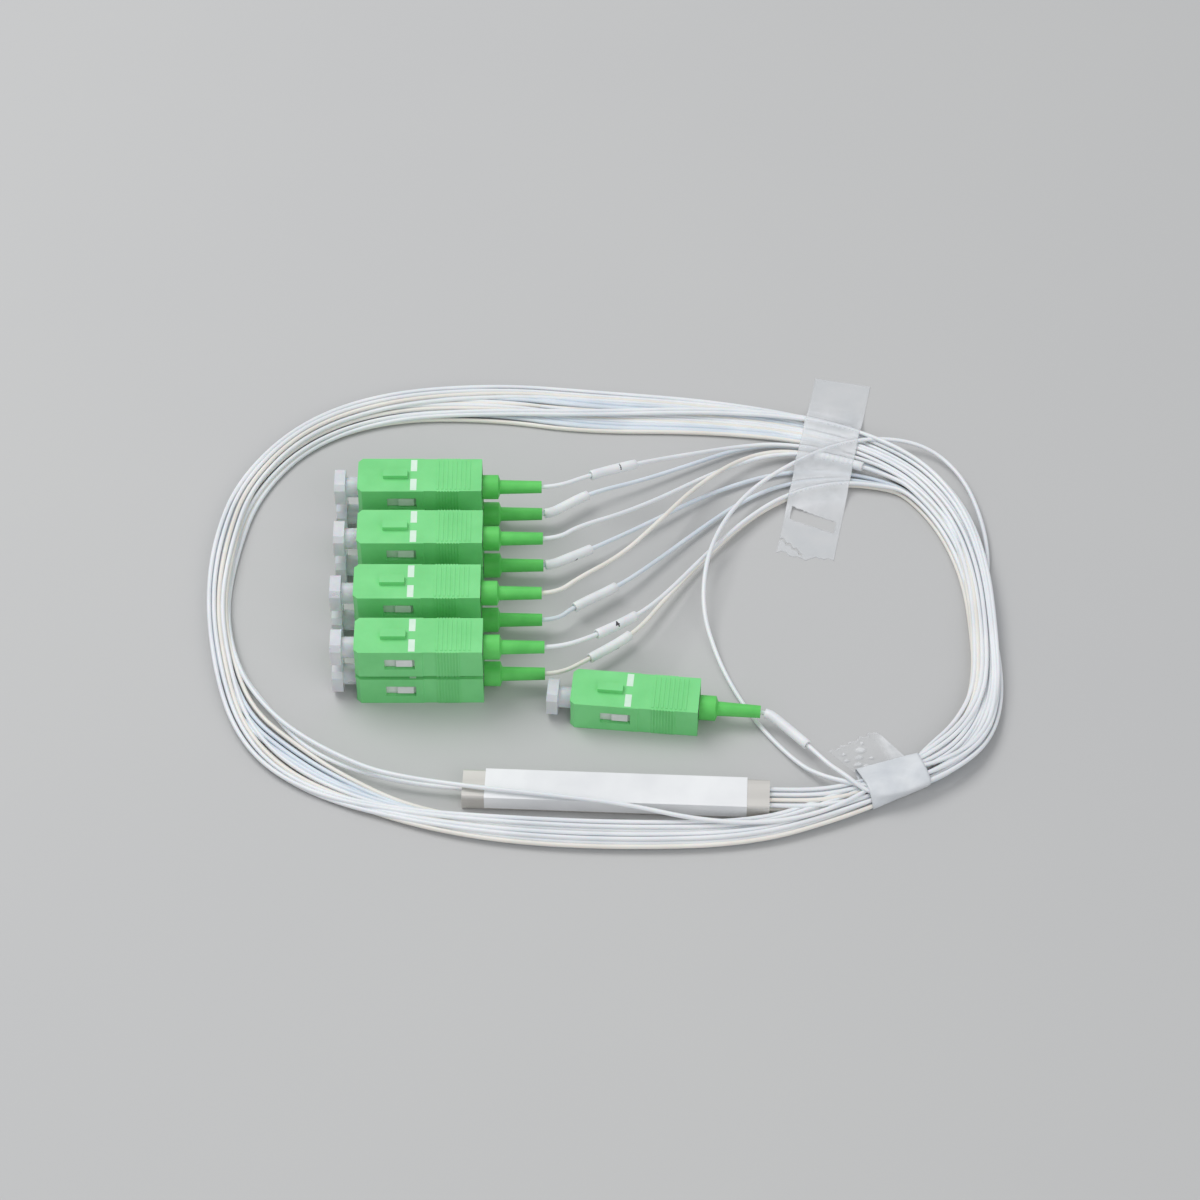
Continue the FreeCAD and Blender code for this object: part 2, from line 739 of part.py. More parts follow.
exits = {entry[0]: boot_exit(*entry) for entry in connectors}
for number, (side, rise) in enumerate(hole_places("output"), start=1):
    name = "output_%d" % number
    lead = tube_solid([exits[name]] + LEADS[name], name + " lead")
    offset = side * size("seal_pitch_side")
    height = size("module_rise") / 2 + rise * size("seal_pitch_rise")
    tail = [(x, y + offset, height) for x, y in OUTPUT_TAIL]
    nodes.append(fixed_shape(name + "_fibre", [lead, tube_solid(tail, name + " tail")]))
nodes.append(
    fixed_shape(
        "input_fibre",
        [
            tube_solid([exits["input"]] + LEADS["input"], "input lead"),
            tube_solid(STRAY, "input stray turn"),
            tube_solid(INPUT_TAIL, "input tail"),
        ],
    )
)

# Marker sleeves, each between two points of its lead, where point 0 is the boot's end
SLEEVES = [("output_1", 1, 2), ("output_2", 7, 8), ("output_4", 1, 2), ("output_5", 0, 1),
           ("output_6", 0, 1), ("output_7", 1, 2), ("output_8", 1, 2), ("input", 1, 3)]


def sleeve_solid(name, first, last):
    """Hollow sleeve centred between two points of a lead."""
    spots = [FreeCAD.Vector(*point) for point in [exits[name]] + LEADS[name]]
    way = spots[last] - spots[first]
    way.normalize()
    low = (spots[first] + spots[last]) * 0.5 - way * (size("sleeve_length") / 2)
    outer = Part.makeCylinder(size("sleeve_width") / 2, size("sleeve_length"), low, way)
    inner = Part.makeCylinder(size("sleeve_bore") / 2, size("sleeve_length"), low, way)
    return outer.cut(inner)


nodes.append(fixed_shape("marker_sleeves", [sleeve_solid(*entry) for entry in SLEEVES]))

# Outer and inner edge of the coil, clockwise from the far side
COIL_OUTER = [(-3, 106.5), (18.2, 104.1), (35.2, 100.4), (46.9, 95.7), (58.9, 88.7),
              (67.4, 81.1), (73.2, 70.1), (76.2, 56.1), (76.9, 39.1), (76.5, 25.1),
              (73.4, 13.6), (67.4, 5.1), (57.9, -0.9), (44.4, -6.3), (25.9, -12.1),
              (0.9, -13.1), (-23.1, -11.5), (-43.1, -6.9), (-57.7, -1.5), (-68.6, 5.8),
              (-75.6, 15.1), (-80.1, 28.1), (-82.8, 47.1), (-82.3, 64.1), (-78.2, 80.4),
              (-66.5, 96.3), (-49.1, 105.1), (-25.1, 108.2)]
COIL_INNER = [(-7.1, 93.9), (15.9, 93.7), (33.4, 91.7), (43.9, 88.3), (53.9, 82.1),
              (60.9, 75.6), (66.5, 66.1), (70.1, 53.6), (70.9, 39.6), (69.9, 26.1),
              (65.9, 17.6), (60.4, 11.6), (53.4, 7.3), (41.9, 0.1), (27.9, -6.5),
              (0.9, -6.7), (-22.1, -5.3), (-39.6, -2.1), (-54.1, 6.3), (-63.6, 14.1),
              (-71.3, 21.6), (-75.6, 32.1), (-78.3, 47.1), (-76.9, 61.6), (-71.6, 76.1),
              (-61.1, 87.6), (-45.1, 93.6), (-25.1, 95.1)]


def closed_curve(points, rise):
    """Smooth closed wire through the points at one height."""
    curve = Part.BSplineCurve()
    curve.interpolate(Points=[FreeCAD.Vector(x, y, rise) for x, y in points], PeriodicFlag=True)
    return Part.Wire(curve.toShape())


def coil_solid():
    """Flat ring of the coil's outer shape, its top falling towards the far side."""
    lift = size("coil_lift")
    full = size("coil_rise")
    disc = Part.Face(closed_curve(COIL_OUTER, lift)).extrude(FreeCAD.Vector(0, 0, full))
    hole = Part.Face(closed_curve(COIL_INNER, lift)).extrude(FreeCAD.Vector(0, 0, full))
    ring = disc.cut(hole)
    near = size("coil_slope_start")
    far = size("coil_slope_end")
    top = lift + full
    low = lift + size("coil_far_rise")
    wide = max(abs(x) for x, _ in COIL_OUTER) + size("coil_rise")
    beyond = far + (far - near)
    corners = [
        FreeCAD.Vector(-wide, near, top),
        FreeCAD.Vector(-wide, far, low),
        FreeCAD.Vector(-wide, beyond, low),
        FreeCAD.Vector(-wide, beyond, top + full),
        FreeCAD.Vector(-wide, near, top + full),
    ]
    cutter = Part.Face(Part.makePolygon(corners + corners[:1]))
    cutter = cutter.extrude(FreeCAD.Vector(2 * wide, 0, 0))
    return ring.cut(cutter)


nodes.append(fixed_shape("fibre_coil", [coil_solid()]))


def make_strip():
    """Frosted tape laid over the coil and the leads, both ends on the floor."""
    body = new_body("strip_form")
    top = [
        ("0", "0"),
        ("Dims.strip_climb_start", "0"),
        ("Dims.strip_climb_end", "Dims.strip_rise"),
        ("Dims.strip_top_end", "Dims.strip_rise"),
        ("Dims.strip_leads_start", "Dims.strip_leads_rise"),
        ("Dims.strip_leads_end", "Dims.strip_leads_rise"),
        ("Dims.strip_fall_end", "0"),
        ("Dims.strip_length", "0"),
    ]
    raised = []
    for x, rise in reversed(top):
        raised.append((x, "Dims.tape_film" if rise == "0" else rise + " + Dims.tape_film"))
    section = outline(body, "XZ_Plane", top + raised, "-Dims.strip_width / 2")
    pad(body, section, "Dims.strip_width")
    doc.recompute()
    return placed(
        "tape_strip", [body], "Dims.strip_x", "Dims.strip_y", "0", "Dims.strip_turn"
    )


def make_wrap():
    """Tape wrapped round the bundle, with the loose flap that lies beside it."""
    film = "Dims.tape_film"
    outer = make_box(
        "wrap_outer",
        ("-Dims.wrap_length / 2", "-Dims.wrap_width / 2", "0"),
        ("Dims.wrap_length", "Dims.wrap_width", "Dims.wrap_rise"),
    )
    inner = make_box(
        "wrap_inner",
        ("-Dims.wrap_length", "-Dims.wrap_width / 2 + " + film, film),
        (
            "Dims.wrap_length * 2",
            "Dims.wrap_width - 2 * " + film,
            "Dims.wrap_rise - 2 * " + film,
        ),
    )
    ring = difference("wrap_ring", outer, inner)
    body = new_body("flap_form")
    flap = [
        ("-Dims.wrap_length / 2", "Dims.wrap_width / 2 - " + film),
        ("Dims.wrap_length / 2", "Dims.wrap_width / 2 - " + film),
        ("Dims.flap_far_right", "Dims.flap_reach"),
        ("-Dims.flap_far_left", "Dims.flap_reach"),
        ("-Dims.flap_tip_left", "Dims.flap_tip_reach"),
    ]
    pad(body, outline(body, "XY_Plane", flap), film)
    doc.recompute()
    whole = union("wrap_whole", [ring, body])
    return placed("tape_wrap", [whole], "Dims.wrap_x", "Dims.wrap_y", "0", "Dims.wrap_turn")


nodes.append(make_strip())
nodes.append(make_wrap())
doc.recompute()

for item in doc.Objects:
    if "Invalid" in item.State or "Error" in item.State:
        raise ValueError("failed: " + item.Name)
for node in nodes:
    if node.Shape.isNull() or not node.Shape.isValid() or not node.Shape.Solids:
        raise ValueError("bad shape: " + node.Label)

os.makedirs("parts", exist_ok=True)
for node in nodes:
    node.Shape.exportStep("parts/%s.step" % node.Label)
print("%d nodes" % len(nodes))
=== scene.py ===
import math

import bmesh
import bpy
import numpy as np
from mathutils import Matrix, Vector
from mathutils.bvhtree import BVHTree


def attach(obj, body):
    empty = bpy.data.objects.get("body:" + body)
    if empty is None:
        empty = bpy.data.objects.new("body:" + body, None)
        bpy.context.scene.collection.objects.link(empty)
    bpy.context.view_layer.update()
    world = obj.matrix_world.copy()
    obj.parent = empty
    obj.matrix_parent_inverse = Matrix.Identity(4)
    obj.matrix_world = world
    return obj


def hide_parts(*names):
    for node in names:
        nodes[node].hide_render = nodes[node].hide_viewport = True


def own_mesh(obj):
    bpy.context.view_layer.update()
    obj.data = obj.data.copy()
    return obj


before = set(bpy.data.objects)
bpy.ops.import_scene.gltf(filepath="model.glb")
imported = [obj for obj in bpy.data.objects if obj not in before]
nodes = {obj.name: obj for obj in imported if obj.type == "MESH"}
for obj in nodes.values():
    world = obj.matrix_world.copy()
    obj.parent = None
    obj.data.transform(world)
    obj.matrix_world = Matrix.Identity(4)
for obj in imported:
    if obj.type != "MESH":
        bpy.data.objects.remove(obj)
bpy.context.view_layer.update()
scene = bpy.context.scene


# Camera, floor and light. The camera looks down at 50 degrees from the side of the module,
# over a plain pale floor, with two soft lamps and an even sky.
def screen_colour(red, green, blue):
    """Scene value of a colour given as a screen shows it, each part from 0 to 255."""
    parts = [value / 255 for value in (red, green, blue)]
    return (*[p / 12.92 if p < 0.0405 else ((p + 0.055) / 1.055) ** 2.4 for p in parts], 1.0)


def noise(tree, place, size, detail):
    """Noise over a piece, with patches of about this size in metres."""
    pattern = tree.nodes.new("ShaderNodeTexNoise")
    pattern.inputs["Scale"].default_value = 1 / size
    pattern.inputs["Detail"].default_value = detail
    tree.links.new(place, pattern.inputs["Vector"])
    return pattern


def finish_of(name, light, dark, patch, roughness, grain, depth, **sockets):
    """Finish that drifts between two tones over patches, with uneven gloss and a fine skin.

    patch, grain and depth are in metres: the size of a patch, of a grain and its height.
    """
    material = bpy.data.materials.new(name)
    material.use_nodes = True
    tree = material.node_tree
    shader = tree.nodes["Principled BSDF"]
    for socket, value in sockets.items():
        shader.inputs[socket.replace("_", " ")].default_value = value
    place = tree.nodes.new("ShaderNodeTexCoord").outputs["Object"]
    drift = noise(tree, place, patch, 4)
    tones = tree.nodes.new("ShaderNodeValToRGB")
    for stop, position, tone in zip(tones.color_ramp.elements, (0.32, 0.68), (dark, light)):
        stop.position = position
        stop.color = screen_colour(*tone)
    tree.links.new(drift.outputs["Fac"], tones.inputs["Fac"])
    tree.links.new(tones.outputs["Color"], shader.inputs["Base Color"])
    gloss = tree.nodes.new("ShaderNodeMapRange")
    unevenness = 0.08
    gloss.inputs["To Min"].default_value = roughness - unevenness
    gloss.inputs["To Max"].default_value = roughness + unevenness
    tree.links.new(drift.outputs["Fac"], gloss.inputs["Value"])
    tree.links.new(gloss.outputs["Result"], shader.inputs["Roughness"])
    skin = noise(tree, place, grain, 2)
    bump = tree.nodes.new("ShaderNodeBump")
    bump.inputs["Strength"].default_value = 0.5
    bump.inputs["Distance"].default_value = depth
    tree.links.new(skin.outputs["Fac"], bump.inputs["Height"])
    tree.links.new(bump.outputs["Normal"], shader.inputs["Normal"])
    return material


camera = bpy.data.objects.new("camera", bpy.data.cameras.new("camera"))
camera.data.lens = 112.5
camera.data.clip_start = 0.01
camera.data.clip_end = 20
camera.location = (-0.0031, -0.4419, 0.5876)
camera.rotation_euler = (math.radians(40), 0, 0)
scene.collection.objects.link(camera)
scene.camera = camera
scene.view_settings.view_transform = "Standard"

floor_reach, floor_drop = 3.0, 0.00002
floor_corners = [
    (x * floor_reach, y * floor_reach, -floor_drop)
    for x, y in ((-1, -1), (1, -1), (1, 1), (-1, 1))
]
floor_mesh = bpy.data.meshes.new("floor")
floor_mesh.from_pydata(floor_corners, [], [(0, 1, 2, 3)])
floor_mesh.materials.append(
    finish_of("pale floor", (198, 198, 197), (195, 195, 195), 0.2, 0.7, 0.002, 0.00001)
)
floor = bpy.data.objects.new("floor", floor_mesh)
scene.collection.objects.link(floor)

lit_point = Vector((0, 0.05, 0))
for name, place, width, power in (
    ("key lamp", (-0.45, 0.35, 0.85), 0.6, 5.0),
    ("fill lamp", (0.5, -0.75, 0.7), 0.8, 2.6),
):
    lamp = bpy.data.objects.new(name, bpy.data.lights.new(name, "AREA"))
    lamp.data.size = width
    lamp.data.energy = power
    lamp.location = place
    lamp.rotation_euler = (lit_point - Vector(place)).to_track_quat("-Z", "Y").to_euler()
    scene.collection.objects.link(lamp)

sky = bpy.data.worlds.new("sky")
sky.use_nodes = True
scene.world = sky
sky_light = sky.node_tree.nodes["Background"]
sky_light.inputs["Color"].default_value = (0.95, 0.97, 1.0, 1.0)
seen_by = sky.node_tree.nodes.new("ShaderNodeLightPath")
sky_level = sky.node_tree.nodes.new("ShaderNodeMapRange")
sky_level.inputs["To Min"].default_value = 0.5
sky_level.inputs["To Max"].default_value = 0.9
sky.node_tree.links.new(seen_by.outputs["Is Camera Ray"], sky_level.inputs["Value"])
sky.node_tree.links.new(sky_level.outputs["Result"], sky_light.inputs["Strength"])


# Fibres: eight output tubes and one input tube of white plastic, 0.9 mm thick and about a
# metre long. Each lead leaves its boot, joins the coil at the strip of tape and ends in the
# module. The route is the tube's own points, and the coil's turns are worked out by a loop.
tube_width = 0.0009
# Edges of the coil from above, at stations all round it that start at its far middle
coil_outer = [
    (-0.003, 0.1065), (0.0182, 0.1041), (0.0352, 0.1004), (0.0469, 0.0957), (0.0589, 0.0887),
    (0.0674, 0.0811), (0.0732, 0.0701), (0.0762, 0.0561), (0.0769, 0.0391), (0.0765, 0.0251),
    (0.0734, 0.0136), (0.0674, 0.0051), (0.0579, -0.0009), (0.0444, -0.0063), (0.0259, -0.0121),
    (0.0009, -0.0131), (-0.0231, -0.0115), (-0.0431, -0.0069), (-0.0577, -0.0015),
    (-0.0686, 0.0058), (-0.0756, 0.0151), (-0.0801, 0.0281), (-0.0828, 0.0471), (-0.0823, 0.0641),
    (-0.0782, 0.0804), (-0.0665, 0.0963), (-0.0491, 0.1051), (-0.0251, 0.1082),
]
coil_inner = [
    (-0.0071, 0.0939), (0.0159, 0.0937), (0.0334, 0.0917), (0.0439, 0.0883), (0.0539, 0.0821),
    (0.0609, 0.0756), (0.0665, 0.0661), (0.0701, 0.0536), (0.0709, 0.0396), (0.0699, 0.0261),
    (0.0659, 0.0176), (0.0604, 0.0116), (0.0534, 0.0073), (0.0419, 0.0001), (0.0279, -0.0065),
    (0.0009, -0.0067), (-0.0221, -0.0053), (-0.0396, -0.0021), (-0.0541, 0.0063), (-0.0636, 0.0141),
    (-0.0713, 0.0216), (-0.0756, 0.0321), (-0.0783, 0.0471), (-0.0769, 0.0616), (-0.0716, 0.0761),
    (-0.0611, 0.0876), (-0.0451, 0.0936), (-0.0251, 0.0951),
]
# Ways of the leads from their boots to the strip of tape, and of the input's to the wrap
leads = {
    "output_1": [
        (-0.0054, 0.0749, 0.0117), (0.0052, 0.0805, 0.0094), (0.0154, 0.0866, 0.0052),
        (0.026, 0.0914, 0.0024), (0.0356, 0.0929, 0.00175), (0.0474, 0.0902, 0.00175),
        (0.0556, 0.0868, 0.00175),
    ],
    "output_2": [
        (-0.0076, 0.061, 0.0116), (0.001, 0.0659, 0.0098), (0.0094, 0.0728, 0.007),
        (0.0177, 0.0807, 0.004), (0.0261, 0.0869, 0.0022), (0.034, 0.0899, 0.00175),
        (0.0418, 0.0893, 0.0022), (0.0518, 0.0858, 0.0025), (0.0584, 0.0826, 0.0023),
    ],
    "output_3": [
        (-0.0074, 0.0471, 0.0118), (0.001, 0.0539, 0.0106), (0.0084, 0.0646, 0.0082),
        (0.0165, 0.0775, 0.005), (0.0259, 0.0876, 0.0026), (0.0357, 0.0913, 0.00175),
        (0.0472, 0.088, 0.00175), (0.056, 0.0844, 0.00175),
    ],
    "output_4": [
        (-0.004, 0.0323, 0.0115), (0.005, 0.04, 0.0089), (0.0108, 0.0482, 0.0062),
        (0.0179, 0.0596, 0.0034), (0.0271, 0.0714, 0.0021), (0.0361, 0.0788, 0.00175),
        (0.047, 0.082, 0.00175), (0.0562, 0.0809, 0.00175),
    ],
    "output_5": [
        (-0.0109, 0.0733, 0.0036), (-0.005, 0.0775, 0.0034), (0.0054, 0.0819, 0.0022),
        (0.0156, 0.087, 0.0014), (0.0265, 0.0923, 0.0009), (0.0356, 0.0935, 0.00066),
        (0.0474, 0.0904, 0.00066), (0.0556, 0.0864, 0.00066),
    ],
    "output_6": [
        (-0.0103, 0.059, 0.0036), (-0.0045, 0.0622, 0.0034), (0.006, 0.0695, 0.0022),
        (0.017, 0.0774, 0.0014), (0.0262, 0.0824, 0.0009), (0.0358, 0.0858, 0.00066),
        (0.0474, 0.0857, 0.00066), (0.0558, 0.0834, 0.00066),
    ],
    "output_7": [
        (-0.0086, 0.0462, 0.0036), (0.0009, 0.0526, 0.0028), (0.0088, 0.0604, 0.0018),
        (0.017, 0.0687, 0.0012), (0.0264, 0.0774, 0.0008), (0.0358, 0.0826, 0.00066),
        (0.0472, 0.0839, 0.00066), (0.056, 0.0822, 0.00066),
    ],
    "output_8": [
        (-0.0056, 0.0326, 0.0035), (0.004, 0.04, 0.0027), (0.0104, 0.0501, 0.0019),
        (0.0175, 0.06, 0.0013), (0.0269, 0.0716, 0.0008), (0.0361, 0.0787, 0.00066),
        (0.047, 0.0823, 0.00066), (0.0562, 0.0812, 0.00066),
    ],
    "input": [
        (0.0325, 0.0166, 0.0036), (0.0363, 0.0127, 0.0033), (0.038, 0.011, 0.0031),
        (0.0418, 0.0064, 0.0032), (0.0435, 0.0043, 0.004), (0.0451, 0.0024, 0.0046),
        (0.0468, 0.0008, 0.0044), (0.0485, -0.0003, 0.0039), (0.051, -0.0012, 0.0037),
        (0.0538, -0.0012, 0.0036), (0.057, -0.0001, 0.0035),
    ],
}
# Stray turn of the input tube, which crosses the coil's open middle
stray = [
    (0.055, 0.001, 0.0038), (0.0516, 0.0003, 0.0037), (0.0487, 0.0008, 0.0036),
    (0.0465, 0.0014, 0.0036), (0.0434, 0.0025, 0.0033), (0.04, 0.0045, 0.0023),
    (0.0367, 0.0073, 0.0013), (0.0319, 0.0132, 0.0007), (0.0275, 0.0197, 0.0006),
    (0.0236, 0.0272, 0.0006), (0.0203, 0.0358, 0.001), (0.0176, 0.046, 0.0032),
    (0.0186, 0.058, 0.0052), (0.0226, 0.0694, 0.0044), (0.029, 0.079, 0.0036),
    (0.0372, 0.0862, 0.00295), (0.0456, 0.091, 0.0031), (0.0554, 0.0936, 0.003),
    (0.0658, 0.092, 0.0022), (0.073, 0.084, 0.0014), (0.0764, 0.072, 0.001),
    (0.077, 0.06, 0.0012), (0.075, 0.05, 0.0016),
]
# Last stretches of the tubes, into the two ends of the module
input_tail = [
    (-0.0684, 0.0206, 0.0016), (-0.0624, 0.0126, 0.0017), (-0.0534, 0.0066, 0.0019),
    (-0.0424, 0.003, 0.002), (-0.032, 0.0015, 0.002), (-0.0279, 0.00122, 0.002),
]
output_tail = [
    (0.02797, -0.00122), (0.0344, -0.0015), (0.041, -0.0012), (0.0474, 0.0004), (0.0536, 0.0026),
]
stations = len(coil_outer)
boot_reach = 0.0376
# Middle of each connector's front, and its turn: two layers of four outputs, and the input
rows = [(-0.0527, 0.0713), (-0.0523, 0.0573), (-0.0524, 0.0428), (-0.0517, 0.0288)]
upper_layer, lower_layer = 0.0121, 0.0037
fronts = {}
for order, (x, y) in enumerate(rows + rows):
    fronts[f"output_{order + 1}"] = (x, y, upper_layer if order < 4 else lower_layer, 0.0)
fronts["input"] = (-0.0087, 0.0227, lower_layer, math.radians(-5.5))
# Three tones of tube: white, cream, and a bluish white whose tint is painted shade. Outputs 5 to 7
# get the bluish one; they run from the lower layer of connectors, under the others.
tube_finishes = {
    tone: finish_of(
        name, light, dark, 0.012, 0.36, 0.0004, 0.000004,
        Subsurface_Weight=0.1, Subsurface_Scale=0.0004,
    )
    for tone, name, light, dark in (
        ("white", "white buffer tube", (243, 245, 247), (231, 235, 239)),
        ("painted_shade", "white buffer tube with painted bluish shade", (231, 238, 245), (216, 225, 234)),
        ("cream", "cream white buffer tube", (244, 241, 234), (234, 230, 222)),
    )
}
tube_tones = ["white", "white", "cream", "white", "painted_shade", "painted_shade", "painted_shade", "cream"]

# How the tubes lie in the coil's section at places along a turn: the rise between rows, the
# last column, the share of the width left free inside, and for each lap of an output tube
# the first column, the lowest row and the columns that its eight tubes take up.
bundles = {
    "gate": (0.0008, 6.0, 0.0, ((0, 0, 2), (4.5, 0, 2), (2.2, 0, 2))),
    "side": (0.0008, 6.0, 0.1, ((0, 0, 4), (4.5, 0, 2), (0, 2, 4))),
    "wrap": (0.0008, 6.5, 0.0, ((2, 0, 2), (4, 0, 2), (0, 0, 2))),
    "near": (0.00078, 5.5, 0.0, ((0, 0, 3), (3, 0, 3), None)),
    "fan": (0.0007, 7.5, 0.0, ((0, 1, 8), (0, 0, 8), None)),
    "left": (0.0008, 3.5, 0.12, ((0, 2, 4), (0, 0, 4), None)),
    "corner": (0.0008, 5.5, 0.35, ((2, 1, 4), (0, 0, 4), None)),
    "far": (0.0004, 15.5, 0.02, ((8, 0, 8), (0, 0, 8), None)),
}
lap_places = [
    (5, "gate"), (8, "side"), (11, "wrap"), (14, "near"), (16, "near"), (18.5, "fan"),
    (22, "left"), (23, "left"), (24.5, "corner"), (26, "corner"), (28, "far"), (29.5, "far"),
]
first_station, last_station = 5, 67
lowest_row = 0.0005
share_drift, height_drift = 0.02, 0.00008

# How far the tubes lie beyond the coil's outline, station by station: the outline is that of
# the coil's top as the camera sees it, and the tubes lie lower.
swing = {
    22: (-0.0006, 0.0002), 23: (-0.0008, 0.0009), 24: (-0.0012, 0.0021), 25: (-0.001, 0.0031),
    26: (-0.0006, 0.0033), 27: (0, 0.0031), 0: (0, 0.0028), 1: (0, 0.0028), 2: (0, 0.003),
    3: (0, 0.0032), 4: (0, 0.0034), 5: (0, 0.0032), 6: (0.0006, 0.0027), 7: (0.0006, 0.0017),
    8: (0.0004, 0.0006), 9: (0.0006, 0), 10: (0.0007, -0.0003), 11: (0.0004, -0.0004),
}


def coil_point(station, share, height):
    """Middle of a tube at a station of the coil, share 0 at its inner edge and 1 outside."""
    beyond = Vector(swing.get(station % stations, (0, 0)))
    inner = Vector(coil_inner[station % stations]) + beyond
    across = Vector(coil_outer[station % stations]) + beyond - inner
    spot = inner + across.normalized() * (tube_width / 2 + share * (across.length - tube_width))
    return (spot.x, spot.y, height)


def lane(bundle, lap, number):
    """Share of the width and height of one tube in one place of one lap."""
    rise, last, free, laps = bundles[bundle]
    column, row, wide = laps[lap]
    column += number % wide
    row += number // wide
    share = (column + 0.5 * (row % 2)) / last
    return free + share * (1 - free), lowest_row + row * rise


def coiled(number):
    """Points of an output tube through its laps of the coil, station by station."""
    places = [
        (station + stations * lap, bundle, lap)
        for lap in range(3)
        for station, bundle in lap_places
    ]
    points = []
    for station in range(first_station, last_station + 1):
        before = max(p for p in places if p[0] <= station)
        after = min((p for p in places if p[0] > station), default=before)
        share, height = lane(before[1], before[2], number)
        if station > before[0]:
            part = (station - before[0]) / (after[0] - before[0])
            part = part * part * (3 - 2 * part)  # eases out of one place and into the next
            share_after, height_after = lane(after[1], after[2], number)
            share += (share_after - share) * part
            height += (height_after - height) * part
        share += share_drift * math.sin(1.9 * number + 0.9 * station)
        height += height_drift * (1 + math.sin(2.7 * number + 1.1 * station))
        points.append(coil_point(station, share, height))
    return points


# The input tube runs round the coil against the others' way, on lanes listed here. It
# swings out of the bundle at the right and lies inside it at the far left corner. Each place
# is a station, a share of the coil's width and a height.
input_start = [(11, 0.95, 0.0034), (10, 1.08, 0.0022), (9, 1.15, 0.0012), (8, 1.05, 0.0012)]
input_first = [
    (11, 0.8, 0.0039), (10, 0.98, 0.003), (9, 1.0, 0.0023), (8, 0.95, 0.0023), (7, 0.95, 0.0023),
    (6, 0.95, 0.0026), (5, 0.95, 0.0029), (4, 0.95, 0.0029), (3, 0.97, 0.0022), (2, 0.8, 0.0021),
    (1, 0.6, 0.0021), (0, 0.4, 0.002), (27, 0.3, 0.0019), (26, 0.4, 0.0012), (25, 0.42, 0.0006),
    (24, 0.35, 0.0006), (23, 0.15, 0.0006), (22, 0.02, 0.0014), (21, 0.02, 0.0022),
]
# Its crossing over the module, between its two laps
over_module = [
    (-0.0703, 0.0218, 0.0026), (-0.0623, 0.0135, 0.003), (-0.0501, 0.0055, 0.0038),
    (-0.0422, 0.0026, 0.0043), (-0.03, -0.0001, 0.0049), (-0.0128, -0.0023, 0.00475),
    (0.002, -0.0044, 0.0046), (0.016, -0.0074, 0.0034), (0.03, -0.008, 0.003),
    (0.043, -0.0044, 0.0032),
]
input_second = [
    (12, 0.35, 0.0036), (11, 0.62, 0.0035), (10, 0.9, 0.0033), (9, 0.92, 0.0031), (8, 0.9, 0.0031),
    (7, 0.9, 0.0031), (6, 0.92, 0.0034), (5, 0.93, 0.0037), (4, 0.9, 0.0037), (3, 0.88, 0.0028),
    (2, 0.7, 0.0021), (1, 0.5, 0.0021), (0, 0.32, 0.002), (27, 0.22, 0.0019), (26, 0.32, 0.0012),
    (25, 0.33, 0.0006), (24, 0.22, 0.0006), (23, 0.0, 0.0006), (22, 0.0, 0.0005), (21, 0.0, 0.0012),
]
middles = {}


def buffer_tube(name, route, finish):
    """One fibre's white tube: a smooth line through its route, with its middle line kept."""
    curve = bpy.data.curves.new(name, "CURVE")
    curve.dimensions = "3D"
    curve.resolution_u = 8
    spline = curve.splines.new("NURBS")
    spline.points.add(len(route) - 1)
    for point, spot in zip(spline.points, route):
        point.co = (*spot, 1)
    spline.order_u = 3
    spline.use_endpoint_u = True
    tube = bpy.data.objects.new(name, curve)
    scene.collection.objects.link(tube)
    line = bpy.data.meshes.new_from_object(tube)
    middles[name] = [vertex.co.copy() for vertex in line.vertices]
    bpy.data.meshes.remove(line)
    curve.bevel_depth = tube_width / 2
    curve.bevel_resolution = 4
    curve.use_fill_caps = True
    curve.materials.append(finish)
    return tube


def boot_point(name, reach):
    """Point on a connector's axis, reach behind its front."""
    x, y, height, turn = fronts[name]
    return (x + reach * math.cos(turn), y + reach * math.sin(turn), height)


close_sleeves = ("output_5", "output_6", "input")


def way_out(name):
    """Points that hold a lead to its boot's axis; it bends at once where a sleeve is close."""
    held, free = (0.0018, 0.0014) if name in close_sleeves else (0.001, 0.003)
    return [boot_point(name, boot_reach - held), boot_point(name, boot_reach + free)]


pigtails = {}
seal_pitch = 0.0013
module_middle = 0.002
for order in range(8):
    name = f"output_{order + 1}"
    side = (1.5 - order % 4) * seal_pitch
    height = module_middle + (0.5 if order < 4 else -0.5) * seal_pitch
    tail = [(x, y + side, height) for x, y in output_tail]
    pigtails[name] = buffer_tube(
        name + "_pigtail",
        way_out(name) + leads[name] + coiled(7 - order) + tail[::-1],
        tube_finishes[tube_tones[order]],
    )
input_route = way_out("input") + leads["input"]
input_route += [coil_point(*place) for place in input_start] + stray[::-1]
input_route += [coil_point(*place) for place in input_first] + over_module
input_route += [coil_point(*place) for place in input_second] + input_tail
pigtails["input"] = buffer_tube("input_pigtail", input_route, tube_finishes["white"])


# Marker sleeves: loose white tubes pushed over eight of the leads, with the lead's number
# printed on those of the outputs. Each follows its lead where it was pushed to.
def followed(line, start, distances):
    """Points and directions at these distances along a line, counted from a start distance."""
    steps = [(b - a).length for a, b in zip(line, line[1:])]
    ends = np.concatenate([[0.0], np.cumsum(steps)])
    found = []
    for distance in distances:
        at = min(max(start + distance, 0.0), ends[-1] - 1e-6)
        index = int(np.searchsorted(ends, at, side="right")) - 1
        along = (line[index + 1] - line[index]).normalized()
        found.append((line[index] + along * (at - ends[index]), along))
    return found


def nearest_distance(line, spot):
    """Distance along a line of its point nearest to a spot."""
    run, best = 0.0, (1e9, 0.0)
    for a, b in zip(line, line[1:]):
        best = min(best, ((a - spot).length, run))
        run += (b - a).length
    return best[1]


def upright(along):
    """Directions across a line: the one nearest to straight up, and the one to its left."""
    up = (Vector((0, 0, 1)) - along * along.z).normalized()
    return up, up.cross(along)


